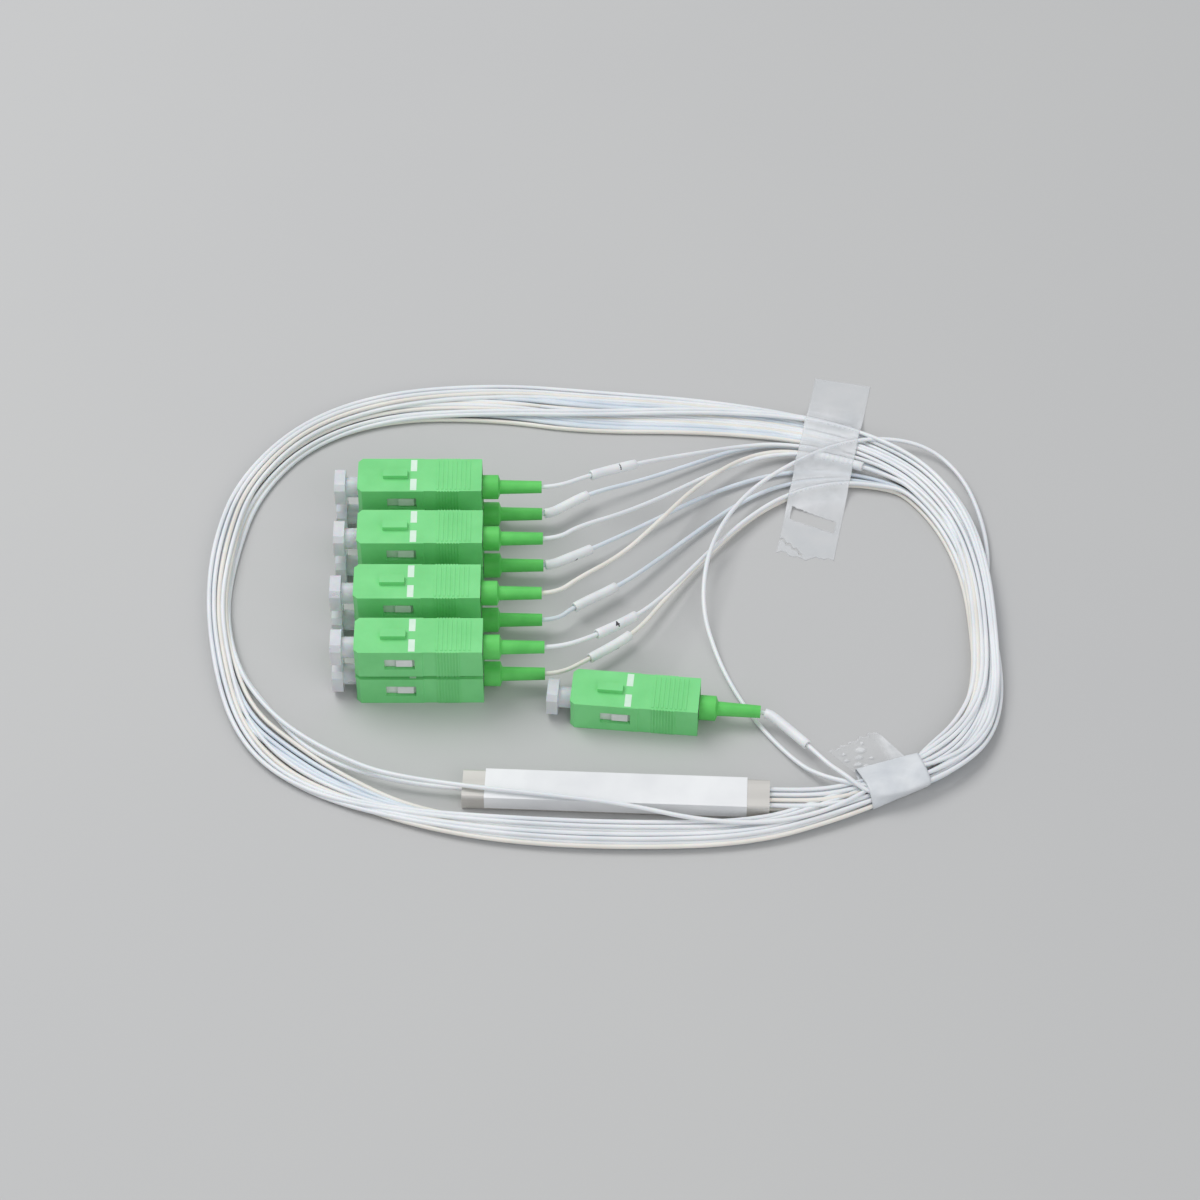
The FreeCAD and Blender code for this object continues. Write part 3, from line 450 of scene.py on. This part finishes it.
def turned_along(name, line, start, profile, finish):
    """Ring-shaped solid about a bent line; profile lists (way along, radius) all round its wall."""
    sides = 28
    spots = followed(line, start, [way for way, _ in profile])
    points = []
    for (middle, along), (_, radius) in zip(spots, profile):
        up, left = upright(along)
        for step in range(sides):
            angle = 2 * math.pi * step / sides
            points.append(middle + (up * math.cos(angle) + left * math.sin(angle)) * radius)
    faces = []
    for ring in range(len(profile)):
        here = ring * sides
        there = (ring + 1) % len(profile) * sides
        for step in range(sides):
            turn = (step + 1) % sides
            faces.append((here + step, there + step, there + turn, here + turn))
    return solid_of(name, points, faces, finish)


def solid_of(name, points, faces, finish):
    """Smooth piece from points and faces, with its faces turned outwards."""
    mesh = bpy.data.meshes.new(name)
    mesh.from_pydata([tuple(point) for point in points], [], faces)
    shape = bmesh.new()
    shape.from_mesh(mesh)
    bmesh.ops.recalc_face_normals(shape, faces=shape.faces)
    shape.to_mesh(mesh)
    shape.free()
    mesh.materials.append(finish)
    mesh.shade_smooth()
    piece = bpy.data.objects.new(name, mesh)
    scene.collection.objects.link(piece)
    return piece


sleeve_finish = finish_of(
    "white sleeve", (244, 245, 246), (232, 234, 237), 0.006, 0.4, 0.0006, 0.00001,
    Subsurface_Weight=0.1, Subsurface_Scale=0.0005,
)
print_ink = finish_of("dark print", (62, 62, 66), (84, 84, 88), 0.001, 0.5, 0.0002, 0.000003)
sleeve_radius, sleeve_bore = 0.001, 0.0006
sleeve_edge = 0.00008
number_height, stroke_swell, ink_rise = 0.0019, 0.00005, 0.00002
# The lead, the two points of its route that the sleeve's middle lies halfway between, the
# sleeve's length, where along it its number is, as a share of the length, and the number's
# turn from the top. The input's sleeve has no number.
sleeve_places = [
    ("output_1", 1, 2, 0.0107, 0.62, -0.6), ("output_2", 7, 8, 0.0105, 0.62, 2.4),
    ("output_4", 1, 2, 0.0105, 0.46, -0.5), ("output_5", 0, 2, 0.0105, 0.62, 2.2),
    ("output_6", 0, 2, 0.0105, 0.62, -2.3), ("output_7", 1, 2, 0.0105, 0.62, 2.6),
    ("output_8", 1, 2, 0.0105, 0.62, -2.6), ("input", 0, 3, 0.0112, None, None),
]
sleeve_spots = []
for name, first, last, sleeve_length, number_share, roll in sleeve_places:
    line = middles[name + "_pigtail"]
    route = [boot_point(name, boot_reach)] + leads[name]
    middle = (Vector(route[first]) + Vector(route[last])) / 2
    start = nearest_distance(line, middle) - sleeve_length / 2
    walls = [sleeve_edge + (sleeve_length - 2 * sleeve_edge) * step / 10 for step in range(11)]
    profile = [(0.0, sleeve_radius - sleeve_edge)]
    profile += [(way, sleeve_radius) for way in walls]
    profile += [(sleeve_length, sleeve_radius - sleeve_edge), (sleeve_length, sleeve_bore)]
    profile += [(way, sleeve_bore) for way in walls[::-2]] + [(0.0, sleeve_bore)]
    sleeve = turned_along(name + "_sleeve", line, start, profile, sleeve_finish)
    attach(sleeve, "splitter")
    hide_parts("marker_sleeves")
    sleeve_spots += [spot for spot, _ in followed(line, start, walls)]
    if roll is None:
        continue
    text = bpy.data.curves.new(name + "_number", "FONT")
    text.body = name[-1]
    text.size = number_height
    text.align_x = "CENTER"
    text.align_y = "CENTER"
    text.offset = stroke_swell
    writer = bpy.data.objects.new(name + "_writer", text)
    scene.collection.objects.link(writer)
    mesh = bpy.data.meshes.new_from_object(writer)
    bpy.data.objects.remove(writer)
    shape = bmesh.new()
    shape.from_mesh(mesh)
    bmesh.ops.triangulate(shape, faces=shape.faces)
    bmesh.ops.subdivide_edges(shape, edges=shape.edges, cuts=2, use_grid_fill=True)
    for vertex in shape.verts:
        spot, along = followed(line, start, [sleeve_length * number_share + vertex.co.x])[0]
        up, left = upright(along)
        turn = roll + vertex.co.y / sleeve_radius
        out = up * math.cos(turn) + left * math.sin(turn)
        vertex.co = spot + out * (sleeve_radius + ink_rise)
    shape.to_mesh(mesh)
    shape.free()
    mesh.materials.clear()
    mesh.materials.append(print_ink)
    number = bpy.data.objects.new(name + "_number", mesh)
    scene.collection.objects.link(number)
    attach(number, "splitter")

# Each tube joins the splitter's body, and the model's own fibre and coil are hidden
for name, pigtail in pigtails.items():
    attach(pigtail, "splitter")
    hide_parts(name + "_fibre", "fibre_coil")


# Strip of frosted tape laid over the coil and the leads. It is pressed down on the tubes,
# both ends stick to the floor, the near end is torn and a slanted gap is torn out of it.
free_lift = 0.0005


def tape_finish(name, clear_alpha, frost_alpha, stuck_alpha, patch, tone_light, tone_dark):
    """Frosted film: cloudy over patches, and clearer where it sticks to what lies under it."""
    material = finish_of(name, tone_light, tone_dark, patch, 0.42, 0.0005, 0.00002)
    tree = material.node_tree
    shader = tree.nodes["Principled BSDF"]
    place = tree.nodes.new("ShaderNodeTexCoord").outputs["Object"]
    cloud = noise(tree, place, patch, 5)
    cloud.inputs["Distortion"].default_value = 0.6
    frost = tree.nodes.new("ShaderNodeMapRange")
    frost.inputs["From Min"].default_value = 0.35
    frost.inputs["From Max"].default_value = 0.65
    frost.inputs["To Min"].default_value = clear_alpha
    frost.inputs["To Max"].default_value = frost_alpha
    tree.links.new(cloud.outputs["Fac"], frost.inputs["Value"])
    lift = tree.nodes.new("ShaderNodeAttribute")
    lift.attribute_name = "lift"
    stuck = tree.nodes.new("ShaderNodeMapRange")
    stuck.inputs["From Max"].default_value = free_lift
    stuck.inputs["To Min"].default_value = stuck_alpha
    tree.links.new(lift.outputs["Fac"], stuck.inputs["Value"])
    tree.links.new(frost.outputs["Result"], stuck.inputs["To Max"])
    tree.links.new(stuck.outputs["Result"], shader.inputs["Alpha"])
    return material


def even(line, step):
    """Points at even steps along a line."""
    total = sum((b - a).length for a, b in zip(line, line[1:]))
    return [spot for spot, _ in followed(line, 0.0, np.arange(0.0, total, step))]


lines = {name: even(line, 0.0004) for name, line in middles.items()}
lumps = [(*spot, tube_width / 2) for line in lines.values() for spot in line]
lumps += [(*spot, sleeve_radius) for spot in sleeve_spots]
lumps = np.array(lumps)
film = 0.00008


def resting_heights(x, y):
    """Height at which a film would touch the tubes or the floor under each point."""
    margin = 0.002
    near = lumps[
        (lumps[:, 0] > x.min() - margin) & (lumps[:, 0] < x.max() + margin)
        & (lumps[:, 1] > y.min() - margin) & (lumps[:, 1] < y.max() + margin)
    ]
    heights = np.full(x.shape, film)
    for px, py, pz, radius in near:
        reach = radius + film
        room = reach * reach - (x - px) ** 2 - (y - py) ** 2
        inside = room > 0
        heights[inside] = np.maximum(heights[inside], pz + np.sqrt(room[inside]))
    return heights


def drawn_tight(floor_heights, rounds, cling):
    """Film stretched over what it touches: it bridges the gaps and sinks a little between."""
    heights = floor_heights.copy()
    for _ in range(rounds):
        edge = np.pad(heights, 1, mode="edge")
        mean = (edge[:-2, 1:-1] + edge[2:, 1:-1] + edge[1:-1, :-2] + edge[1:-1, 2:]) / 4
        heights = np.maximum(floor_heights, mean * cling)
    return heights


def film_piece(name, points, keep, lift, finish):
    """Thin film on a grid of points, with the cells that are kept and its lift off its rest."""
    rows, columns = points.shape[:2]
    faces = [
        (r * columns + c, r * columns + c + 1, (r + 1) * columns + c + 1, (r + 1) * columns + c)
        for r in range(rows - 1) for c in range(columns - 1) if keep[r, c]
    ]
    used = sorted({corner for face in faces for corner in face})
    order = {old: new for new, old in enumerate(used)}
    flat = points.reshape(-1, 3)
    piece = solid_of(
        name, [flat[i] for i in used], [tuple(order[i] for i in face) for face in faces], finish
    )
    layer = piece.data.attributes.new("lift", "FLOAT", "POINT")
    layer.data.foreach_set("value", lift.reshape(-1)[used])
    wall = piece.modifiers.new("wall", "SOLIDIFY")
    wall.thickness = film
    wall.offset = 0
    return piece


strip_start = Vector((0.0491, 0.1121))
strip_turn = math.radians(-101.3)
strip_length, strip_width = 0.0505, 0.012
strip_along = np.array((math.cos(strip_turn), math.sin(strip_turn)))
strip_across = np.array((-strip_along[1], strip_along[0]))
s, t = np.meshgrid(np.linspace(0, strip_length, 211), np.linspace(-0.5, 0.5, 51), indexing="ij")
t = t * strip_width
torn = 0.0005 * np.sin(t * 700 + 2) + 0.0003 * np.sin(t * 1900 + 1) + 0.00012 * np.sin(t * 5100)
s = s * (1 + torn / strip_length * (s / strip_length) ** 6)
x = strip_start.x + s * strip_along[0] + t * strip_across[0]
y = strip_start.y + s * strip_along[1] + t * strip_across[1]
resting = resting_heights(x, y)
height = drawn_tight(resting, rounds=700, cling=0.997)
lift = height - resting
ripple = 0.00005 * np.sin(s * 1400 + t * 500)
height += ripple * (lift > film)
strip_points = np.stack([x, y, height], axis=-1)
middle_s = (s[:-1, :-1] + s[1:, 1:]) / 2
middle_t = (t[:-1, :-1] + t[1:, 1:]) / 2
# The slanted gap, and a short tear across one side of the strip near its torn end
gap_length, gap_half, tear_half = 0.0031, 0.0047, 0.0003
gap_start = 0.0376 + 0.22 * (middle_t + 0.005)
in_gap = (middle_s > gap_start) & (middle_s < gap_start + gap_length) & (abs(middle_t) < gap_half)
tear_line = 0.0467 + 0.7 * (middle_t + 0.0053) + 0.0003 * np.sin(middle_t * 4000)
in_tear = (abs(middle_s - tear_line) < tear_half) & (middle_t < -0.0006)
strip = film_piece(
    "tape_strip_film", strip_points, ~(in_gap | in_tear), lift,
    tape_finish("frosted strip", 0.42, 0.6, 0.3, 0.006, (250, 251, 253), (240, 243, 246)),
)
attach(strip, "splitter")
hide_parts("tape_strip")


# The same tape wound once round the bundle by the module's output end, pulled tight, with
# its loose end stuck to the floor beside it in a bubbled flap.
wrap_middle = np.array((0.0546, 0.0032))
wrap_turn = math.radians(17)
wrap_along = np.array((math.cos(wrap_turn), math.sin(wrap_turn)))
wrap_across = np.array((-wrap_along[1], wrap_along[0]))
wrap_half = 0.00625
slices, corners = 26, 72
bundle_half, slice_half = 0.009, 0.0009
offsets = lumps[:, :2] - wrap_middle
local = np.stack([offsets @ wrap_along, offsets @ wrap_across, lumps[:, 2]], axis=-1)
local = local[abs(local[:, 1]) < bundle_half]


def taut_ring(spots):
    """Outer points of a film drawn round these spots, one for each direction."""
    ring = []
    for angle in np.linspace(0, 2 * math.pi, 180, endpoint=False):
        out = np.array((math.cos(angle), math.sin(angle)))
        ring.append(spots[np.argmax(spots @ out)] + out * (tube_width / 2 + film))
    ring = np.array(ring)
    ring[:, 1] = np.maximum(ring[:, 1], film)
    return ring


def tubes_at(place):
    """Places across and above of the tubes that pass one slice of the wrap."""
    return local[abs(local[:, 0] - place) < slice_half][:, 1:]


# Where the film stands off the tubes, over the flap's root at the end towards the module
far_fold = np.array([[0.0047, 0.0013]])
first_ring = taut_ring(np.vstack([tubes_at(-wrap_half), far_fold]))
last_ring = taut_ring(tubes_at(wrap_half))
rings = []
for step in range(slices):
    part = step / (slices - 1)
    drawn = first_ring * (1 - part) + last_ring * part
    inward = drawn - drawn.mean(axis=0)
    inward /= np.linalg.norm(inward, axis=1)[:, None]
    drawn = drawn - inward * (tube_width / 2 + film)
    ring = taut_ring(np.vstack([tubes_at(wrap_half * (2 * part - 1)), drawn]))
    gaps = np.linalg.norm(np.roll(ring, -1, axis=0) - ring, axis=1)
    run = np.concatenate([[0.0], np.cumsum(gaps)])
    ring = np.vstack([ring, ring[:1]])
    even_run = np.linspace(0, run[-1], corners, endpoint=False)
    rings.append(
        np.stack([np.interp(even_run, run, ring[:, 0]), np.interp(even_run, run, ring[:, 1])], -1)
    )
# Neighbouring slices are evened out, so that the film runs smoothly from one to the next
rings = np.array(rings)
for _ in range(3):
    rings[1:-1] = (rings[:-2] + 2 * rings[1:-1] + rings[2:]) / 4
wrap_points = []
for step in range(slices):
    place = wrap_half * (2 * step / (slices - 1) - 1)
    for corner in range(corners + 1):
        side, rise = rings[step][corner % corners]
        crease = 0.00005 * math.sin(corner * 0.7 + step * 0.9) * math.sin(step * 0.5)
        spot = wrap_middle + wrap_along * place + wrap_across * side
        wrap_points.append((*spot, rise + crease * (rise > 0.001)))
wrap_points = np.array(wrap_points).reshape(slices, corners + 1, 3)
wrap = film_piece(
    "tape_wrap_film", wrap_points, np.ones((slices - 1, corners), bool),
    np.ones((slices, corners + 1)),
    tape_finish("frosted wrap", 0.84, 0.93, 0.9, 0.005, (236, 239, 242), (224, 228, 233)),
)
# The seam is closed before the film gets its thickness
seam = wrap.modifiers.new("seam", "WELD")
seam.merge_threshold = 0.00001
wrap.modifiers.move(1, 0)
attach(wrap, "splitter")
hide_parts("tape_wrap")

flap_root = [
    wrap_middle + wrap_along * reach + wrap_across * 0.0047 for reach in (-0.006, 0.0052)
]
flap_tip = [np.array((0.0422, 0.0118)), np.array((0.0518, 0.017))]
flap_cells = 60
flap_steps = np.linspace(0, 1, flap_cells + 1)
u, v = np.meshgrid(flap_steps, flap_steps, indexing="ij")
near_edge = flap_root[0] * (1 - u[..., None]) + flap_root[1] * u[..., None]
far_edge = flap_tip[0] * (1 - u[..., None]) + flap_tip[1] * u[..., None]
ragged = 0.03 * np.sin(u * 31) + 0.02 * np.sin(u * 74 + 2) + 0.01 * np.sin(u * 160)
far_share = (v * (1 + ragged * v ** 4))[..., None]
plan = near_edge * (1 - far_share) + far_edge * far_share
# Share of the film that has come off the floor: its root, a fold on the right, the rim of
# its far edge and the round bubbles in it
loose = np.exp(-v * 14) + np.clip((u - 0.62 - 0.25 * v) * 6, 0, 1) * np.clip((1 - v) * 5, 0, 1)
loose += 0.8 * np.clip((v - 0.95) * 20, 0, 1) * (np.sin(u * 47) > -0.3)
for bubble_u, bubble_v, radius in (
    (0.33, 0.52, 0.07), (0.47, 0.7, 0.085), (0.2, 0.33, 0.07), (0.1, 0.55, 0.045),
    (0.3, 0.22, 0.05), (0.5, 0.4, 0.04), (0.16, 0.76, 0.04), (0.6, 0.86, 0.035),
):
    far = ((u - bubble_u) ** 2 + (v - bubble_v) ** 2) / radius ** 2
    loose += np.exp(-far ** 3)
loose = np.clip(loose, 0, 1)
bubble_rise, root_rise = 0.00025, 0.0011
height = film + bubble_rise * loose + root_rise * np.exp(-v * 14)
flap = film_piece(
    "tape_flap_film", np.concatenate([plan, height[..., None]], axis=-1),
    np.ones((flap_cells, flap_cells), bool), loose * free_lift,
    tape_finish("clear flap", 0.35, 0.55, 0.1, 0.004, (252, 253, 254), (246, 248, 250)),
)
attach(flap, "splitter")
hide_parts("tape_wrap")


# Splitter module: a flat stainless steel tube with a white film label wrapped over its top
# and sides, sealed round the tubes at both ends, with the glass chip inside.
def dress(name, finish):
    """Gives a solid of the model its finish."""
    for slot in nodes[name].material_slots:
        slot.material = finish


def drawn_metal(name, light, dark, roughness, stretch, metal=1.0):
    """Metal with fine lines drawn along it."""
    material = finish_of(name, light, dark, 0.003, roughness, 0.0003, 0.000004, Metallic=metal)
    tree = material.node_tree
    aim = tree.nodes.new("ShaderNodeMapping")
    aim.inputs["Scale"].default_value = stretch
    place = tree.nodes["Texture Coordinate"].outputs["Object"]
    tree.links.new(place, aim.inputs["Vector"])
    for node in tree.nodes:
        if node.type == "TEX_NOISE":
            tree.links.new(aim.outputs["Vector"], node.inputs["Vector"])
    return material


dress(
    "module_tube",
    drawn_metal("satin steel", (221, 218, 213), (206, 203, 198), 0.5, (0.05, 1, 1), metal=0.45),
)
dress(
    "module_label",
    finish_of("white label film", (244, 245, 246), (233, 234, 236), 0.01, 0.34, 0.0015, 0.00002),
)
seal_finish = finish_of(
    "milky sealant", (226, 224, 216), (208, 206, 197), 0.001, 0.3, 0.0004, 0.00002,
    Subsurface_Weight=0.2, Subsurface_Scale=0.0005,
)
dress("input_end_seal", seal_finish)
dress("output_end_seal", seal_finish)
chip_glass = finish_of(
    "clear silica", (236, 242, 244), (226, 234, 238), 0.002, 0.12, 0.0002, 0.000001,
    Transmission_Weight=0.85,
)
dress("splitter_chip", chip_glass)
dress("fibre_blocks", chip_glass)


# Connectors: a moulded green grip over a white plug frame. Two white bars are printed on each
# grip's top face, and low ribs for the fingers run across it behind them.
grip_finish = finish_of(
    "green grip plastic", (131, 226, 144), (120, 216, 133), 0.007, 0.42, 0.00022, 0.000012,
    Subsurface_Weight=0.05, Subsurface_Scale=0.0006,
)
bar_finish = finish_of(
    "white bar print", (226, 246, 230), (212, 240, 219), 0.002, 0.45, 0.0002, 0.000004
)
frame_finish = finish_of(
    "white frame plastic", (236, 238, 236), (222, 225, 223), 0.005, 0.38, 0.0003, 0.000008
)


def sized_tree(name, sizes):
    """Empty node tree, with its start and end, for a piece made from named sizes and a finish."""
    tree = bpy.data.node_groups.new(name, "GeometryNodeTree")
    tree.interface.new_socket("Geometry", in_out="INPUT", socket_type="NodeSocketGeometry")
    tree.interface.new_socket("Finish", in_out="INPUT", socket_type="NodeSocketMaterial")
    kinds = {int: "NodeSocketInt", float: "NodeSocketFloat", tuple: "NodeSocketVector"}
    for size_name, value in sizes.items():
        socket = tree.interface.new_socket(
            size_name, in_out="INPUT", socket_type=kinds[type(value)]
        )
        socket.default_value = value
    tree.interface.new_socket("Geometry", in_out="OUTPUT", socket_type="NodeSocketGeometry")
    return tree, tree.nodes.new("NodeGroupInput"), tree.nodes.new("NodeGroupOutput")


def sizes_joined(tree, starts, joins):
    """Leads each named size to a node's socket."""
    for size_name, node, socket in joins:
        tree.links.new(starts.outputs[size_name], node.inputs[socket])


def finished_tree(tree, last, leaves):
    """Ends a tree in real geometry with its finish."""
    real = tree.nodes.new("GeometryNodeRealizeInstances")
    coat = tree.nodes.new("GeometryNodeSetMaterial")
    starts = tree.nodes.new("NodeGroupInput")
    tree.links.new(starts.outputs["Finish"], coat.inputs["Material"])
    tree.links.new(last, real.inputs["Geometry"])
    tree.links.new(real.outputs["Geometry"], coat.inputs["Geometry"])
    tree.links.new(coat.outputs["Geometry"], leaves.inputs["Geometry"])


def grown(name, tree, sizes):
    """Plain piece that a node tree makes from its named sizes."""
    piece = bpy.data.objects.new(name, bpy.data.meshes.new(name + "_seed"))
    scene.collection.objects.link(piece)
    growth = piece.modifiers.new("growth", "NODES")
    growth.node_group = tree
    for item in tree.interface.items_tree:
        if item.in_out == "INPUT" and item.name in sizes:
            growth[item.identifier] = sizes[item.name]
    made = bpy.data.meshes.new_from_object(
        piece.evaluated_get(bpy.context.evaluated_depsgraph_get())
    )
    piece.modifiers.remove(growth)
    piece.data = made
    made.name = name
    return piece


row_tree, row_sizes, row_end = sized_tree(
    "row of bars",
    {
        "Length": 0.0013, "Width": 0.0031, "Count": 2, "First": (0, -0.0026, 0),
        "Step": (0, 0.0052, 0),
    },
)
bar = row_tree.nodes.new("GeometryNodeMeshGrid")
bar.inputs["Vertices X"].default_value = 4
bar.inputs["Vertices Y"].default_value = 14
places = row_tree.nodes.new("GeometryNodeMeshLine")
copies = row_tree.nodes.new("GeometryNodeInstanceOnPoints")
sizes_joined(row_tree, row_sizes, (
    ("Length", bar, "Size X"), ("Width", bar, "Size Y"), ("Count", places, "Count"),
    ("First", places, "Start Location"), ("Step", places, "Offset"),
))
row_tree.links.new(places.outputs["Mesh"], copies.inputs["Points"])
row_tree.links.new(bar.outputs["Mesh"], copies.inputs["Instance"])
finished_tree(row_tree, copies.outputs["Instances"], row_end)


def at_connector(name):
    """Place of a connector's own directions in the model."""
    x, y, height, turn = fronts[name]
    return Matrix.Translation((x, y, height)) @ Matrix.Rotation(turn, 4, "Z")


def laid_on(skin, name, kind, sizes, start, rise, finish):
    """Row of thin bars laid on a grip's top face, proud of it by the rise."""
    above = 0.01
    row = grown(f"{name}_grip_{kind}", row_tree, {**sizes, "Finish": finish})
    row.data.transform(at_connector(name) @ Matrix.Translation((start, 0, above)))
    for vertex in row.data.vertices:
        hit = skin.ray_cast(vertex.co, Vector((0, 0, -1)))[0]
        vertex.co.z = hit.z + rise
    wall = row.modifiers.new("wall", "SOLIDIFY")
    wall.thickness = rise
    wall.offset = -1
    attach(row, name + " grip")


bar_start, bar_rise = 0.01145, 0.00002
rib_start, rib_rise = 0.0164, 0.0001
rib_sizes = {
    "Length": 0.00045, "Width": 0.0078, "Count": 8, "First": (0, 0, 0), "Step": (0.00092, 0, 0),
}
for name in fronts:
    dress(name + "_grip", grip_finish)
    dress(name + "_plug_frame", frame_finish)
    grip_mesh = nodes[name + "_grip"].data
    skin = BVHTree.FromPolygons(
        [vertex.co for vertex in grip_mesh.vertices], [face.vertices for face in grip_mesh.polygons]
    )
    laid_on(skin, name, "bars", {}, bar_start, bar_rise, bar_finish)
    laid_on(skin, name, "ribs", rib_sizes, rib_start, rib_rise, grip_finish)


# Boots: soft green rubber pushed over each connector's rear post, a drum and a tapered tail
# that guides the tube. The rear bodies inside are turned metal.
dress(
    "boots",
    finish_of(
        "green boot rubber", (104, 214, 104), (90, 201, 92), 0.004, 0.48, 0.0003, 0.00001,
        Subsurface_Weight=0.05, Subsurface_Scale=0.0006,
    ),
)
dress(
    "rear_bodies",
    drawn_metal("turned metal", (205, 204, 200), (186, 185, 182), 0.32, (1, 0.1, 0.1)),
)


# Ferrules: polished white ceramic with a slanted tip, each pushed forward by a coil spring
# of steel wire.
ceramic = finish_of(
    "polished ceramic", (245, 243, 236), (238, 236, 229), 0.003, 0.16, 0.0001, 0.000001,
    Coat_Weight=0.3,
)
spring_wire = drawn_metal("spring steel", (206, 206, 208), (186, 186, 189), 0.28, (1, 1, 1))
spring_front, spring_length, wire = 0.0111, 0.0058, 0.0005
spring_tree, spring_sizes, spring_end = sized_tree(
    "coil spring", {"Turns": 6.5, "Radius": 0.00185, "Wire radius": wire / 2, "Length": 0.0053}
)
helix = spring_tree.nodes.new("GeometryNodeCurveSpiral")
helix.inputs["Resolution"].default_value = 20
round_wire = spring_tree.nodes.new("GeometryNodeCurvePrimitiveCircle")
round_wire.inputs["Resolution"].default_value = 8
spun = spring_tree.nodes.new("GeometryNodeCurveToMesh")
spun.inputs["Fill Caps"].default_value = True
sizes_joined(spring_tree, spring_sizes, (
    ("Turns", helix, "Rotations"), ("Radius", helix, "Start Radius"),
    ("Radius", helix, "End Radius"), ("Length", helix, "Height"),
    ("Wire radius", round_wire, "Radius"),
))
spring_tree.links.new(helix.outputs["Curve"], spun.inputs["Curve"])
spring_tree.links.new(round_wire.outputs["Curve"], spun.inputs["Profile Curve"])
finished_tree(spring_tree, spun.outputs["Mesh"], spring_end)
for name, (_, _, _, turn) in fronts.items():
    dress(name + "_ferrule", ceramic)
    spring = grown(name + "_spring", spring_tree, {"Finish": spring_wire})
    laid_down = Matrix.Rotation(math.pi / 2, 4, "Y")
    moved_back = Matrix.Translation((spring_front + wire / 2, 0, 0))
    spring.data.transform(at_connector(name) @ moved_back @ laid_down)
    spring.data.shade_smooth()
    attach(spring, "splitter")
    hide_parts("ferrule_springs")
    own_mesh(spring)


# Dust caps: soft milky plastic, an eight-sided head on a neck that slips over the ferrule.
# A little light passes through them.
cap_finish = finish_of(
    "milky cap plastic", (244, 246, 250), (231, 235, 241), 0.004, 0.3, 0.0004, 0.00001,
    Transmission_Weight=0.25, Subsurface_Weight=0.35, Subsurface_Scale=0.0015,
)
for name in fronts:
    dress(name + "_dust_cap", cap_finish)
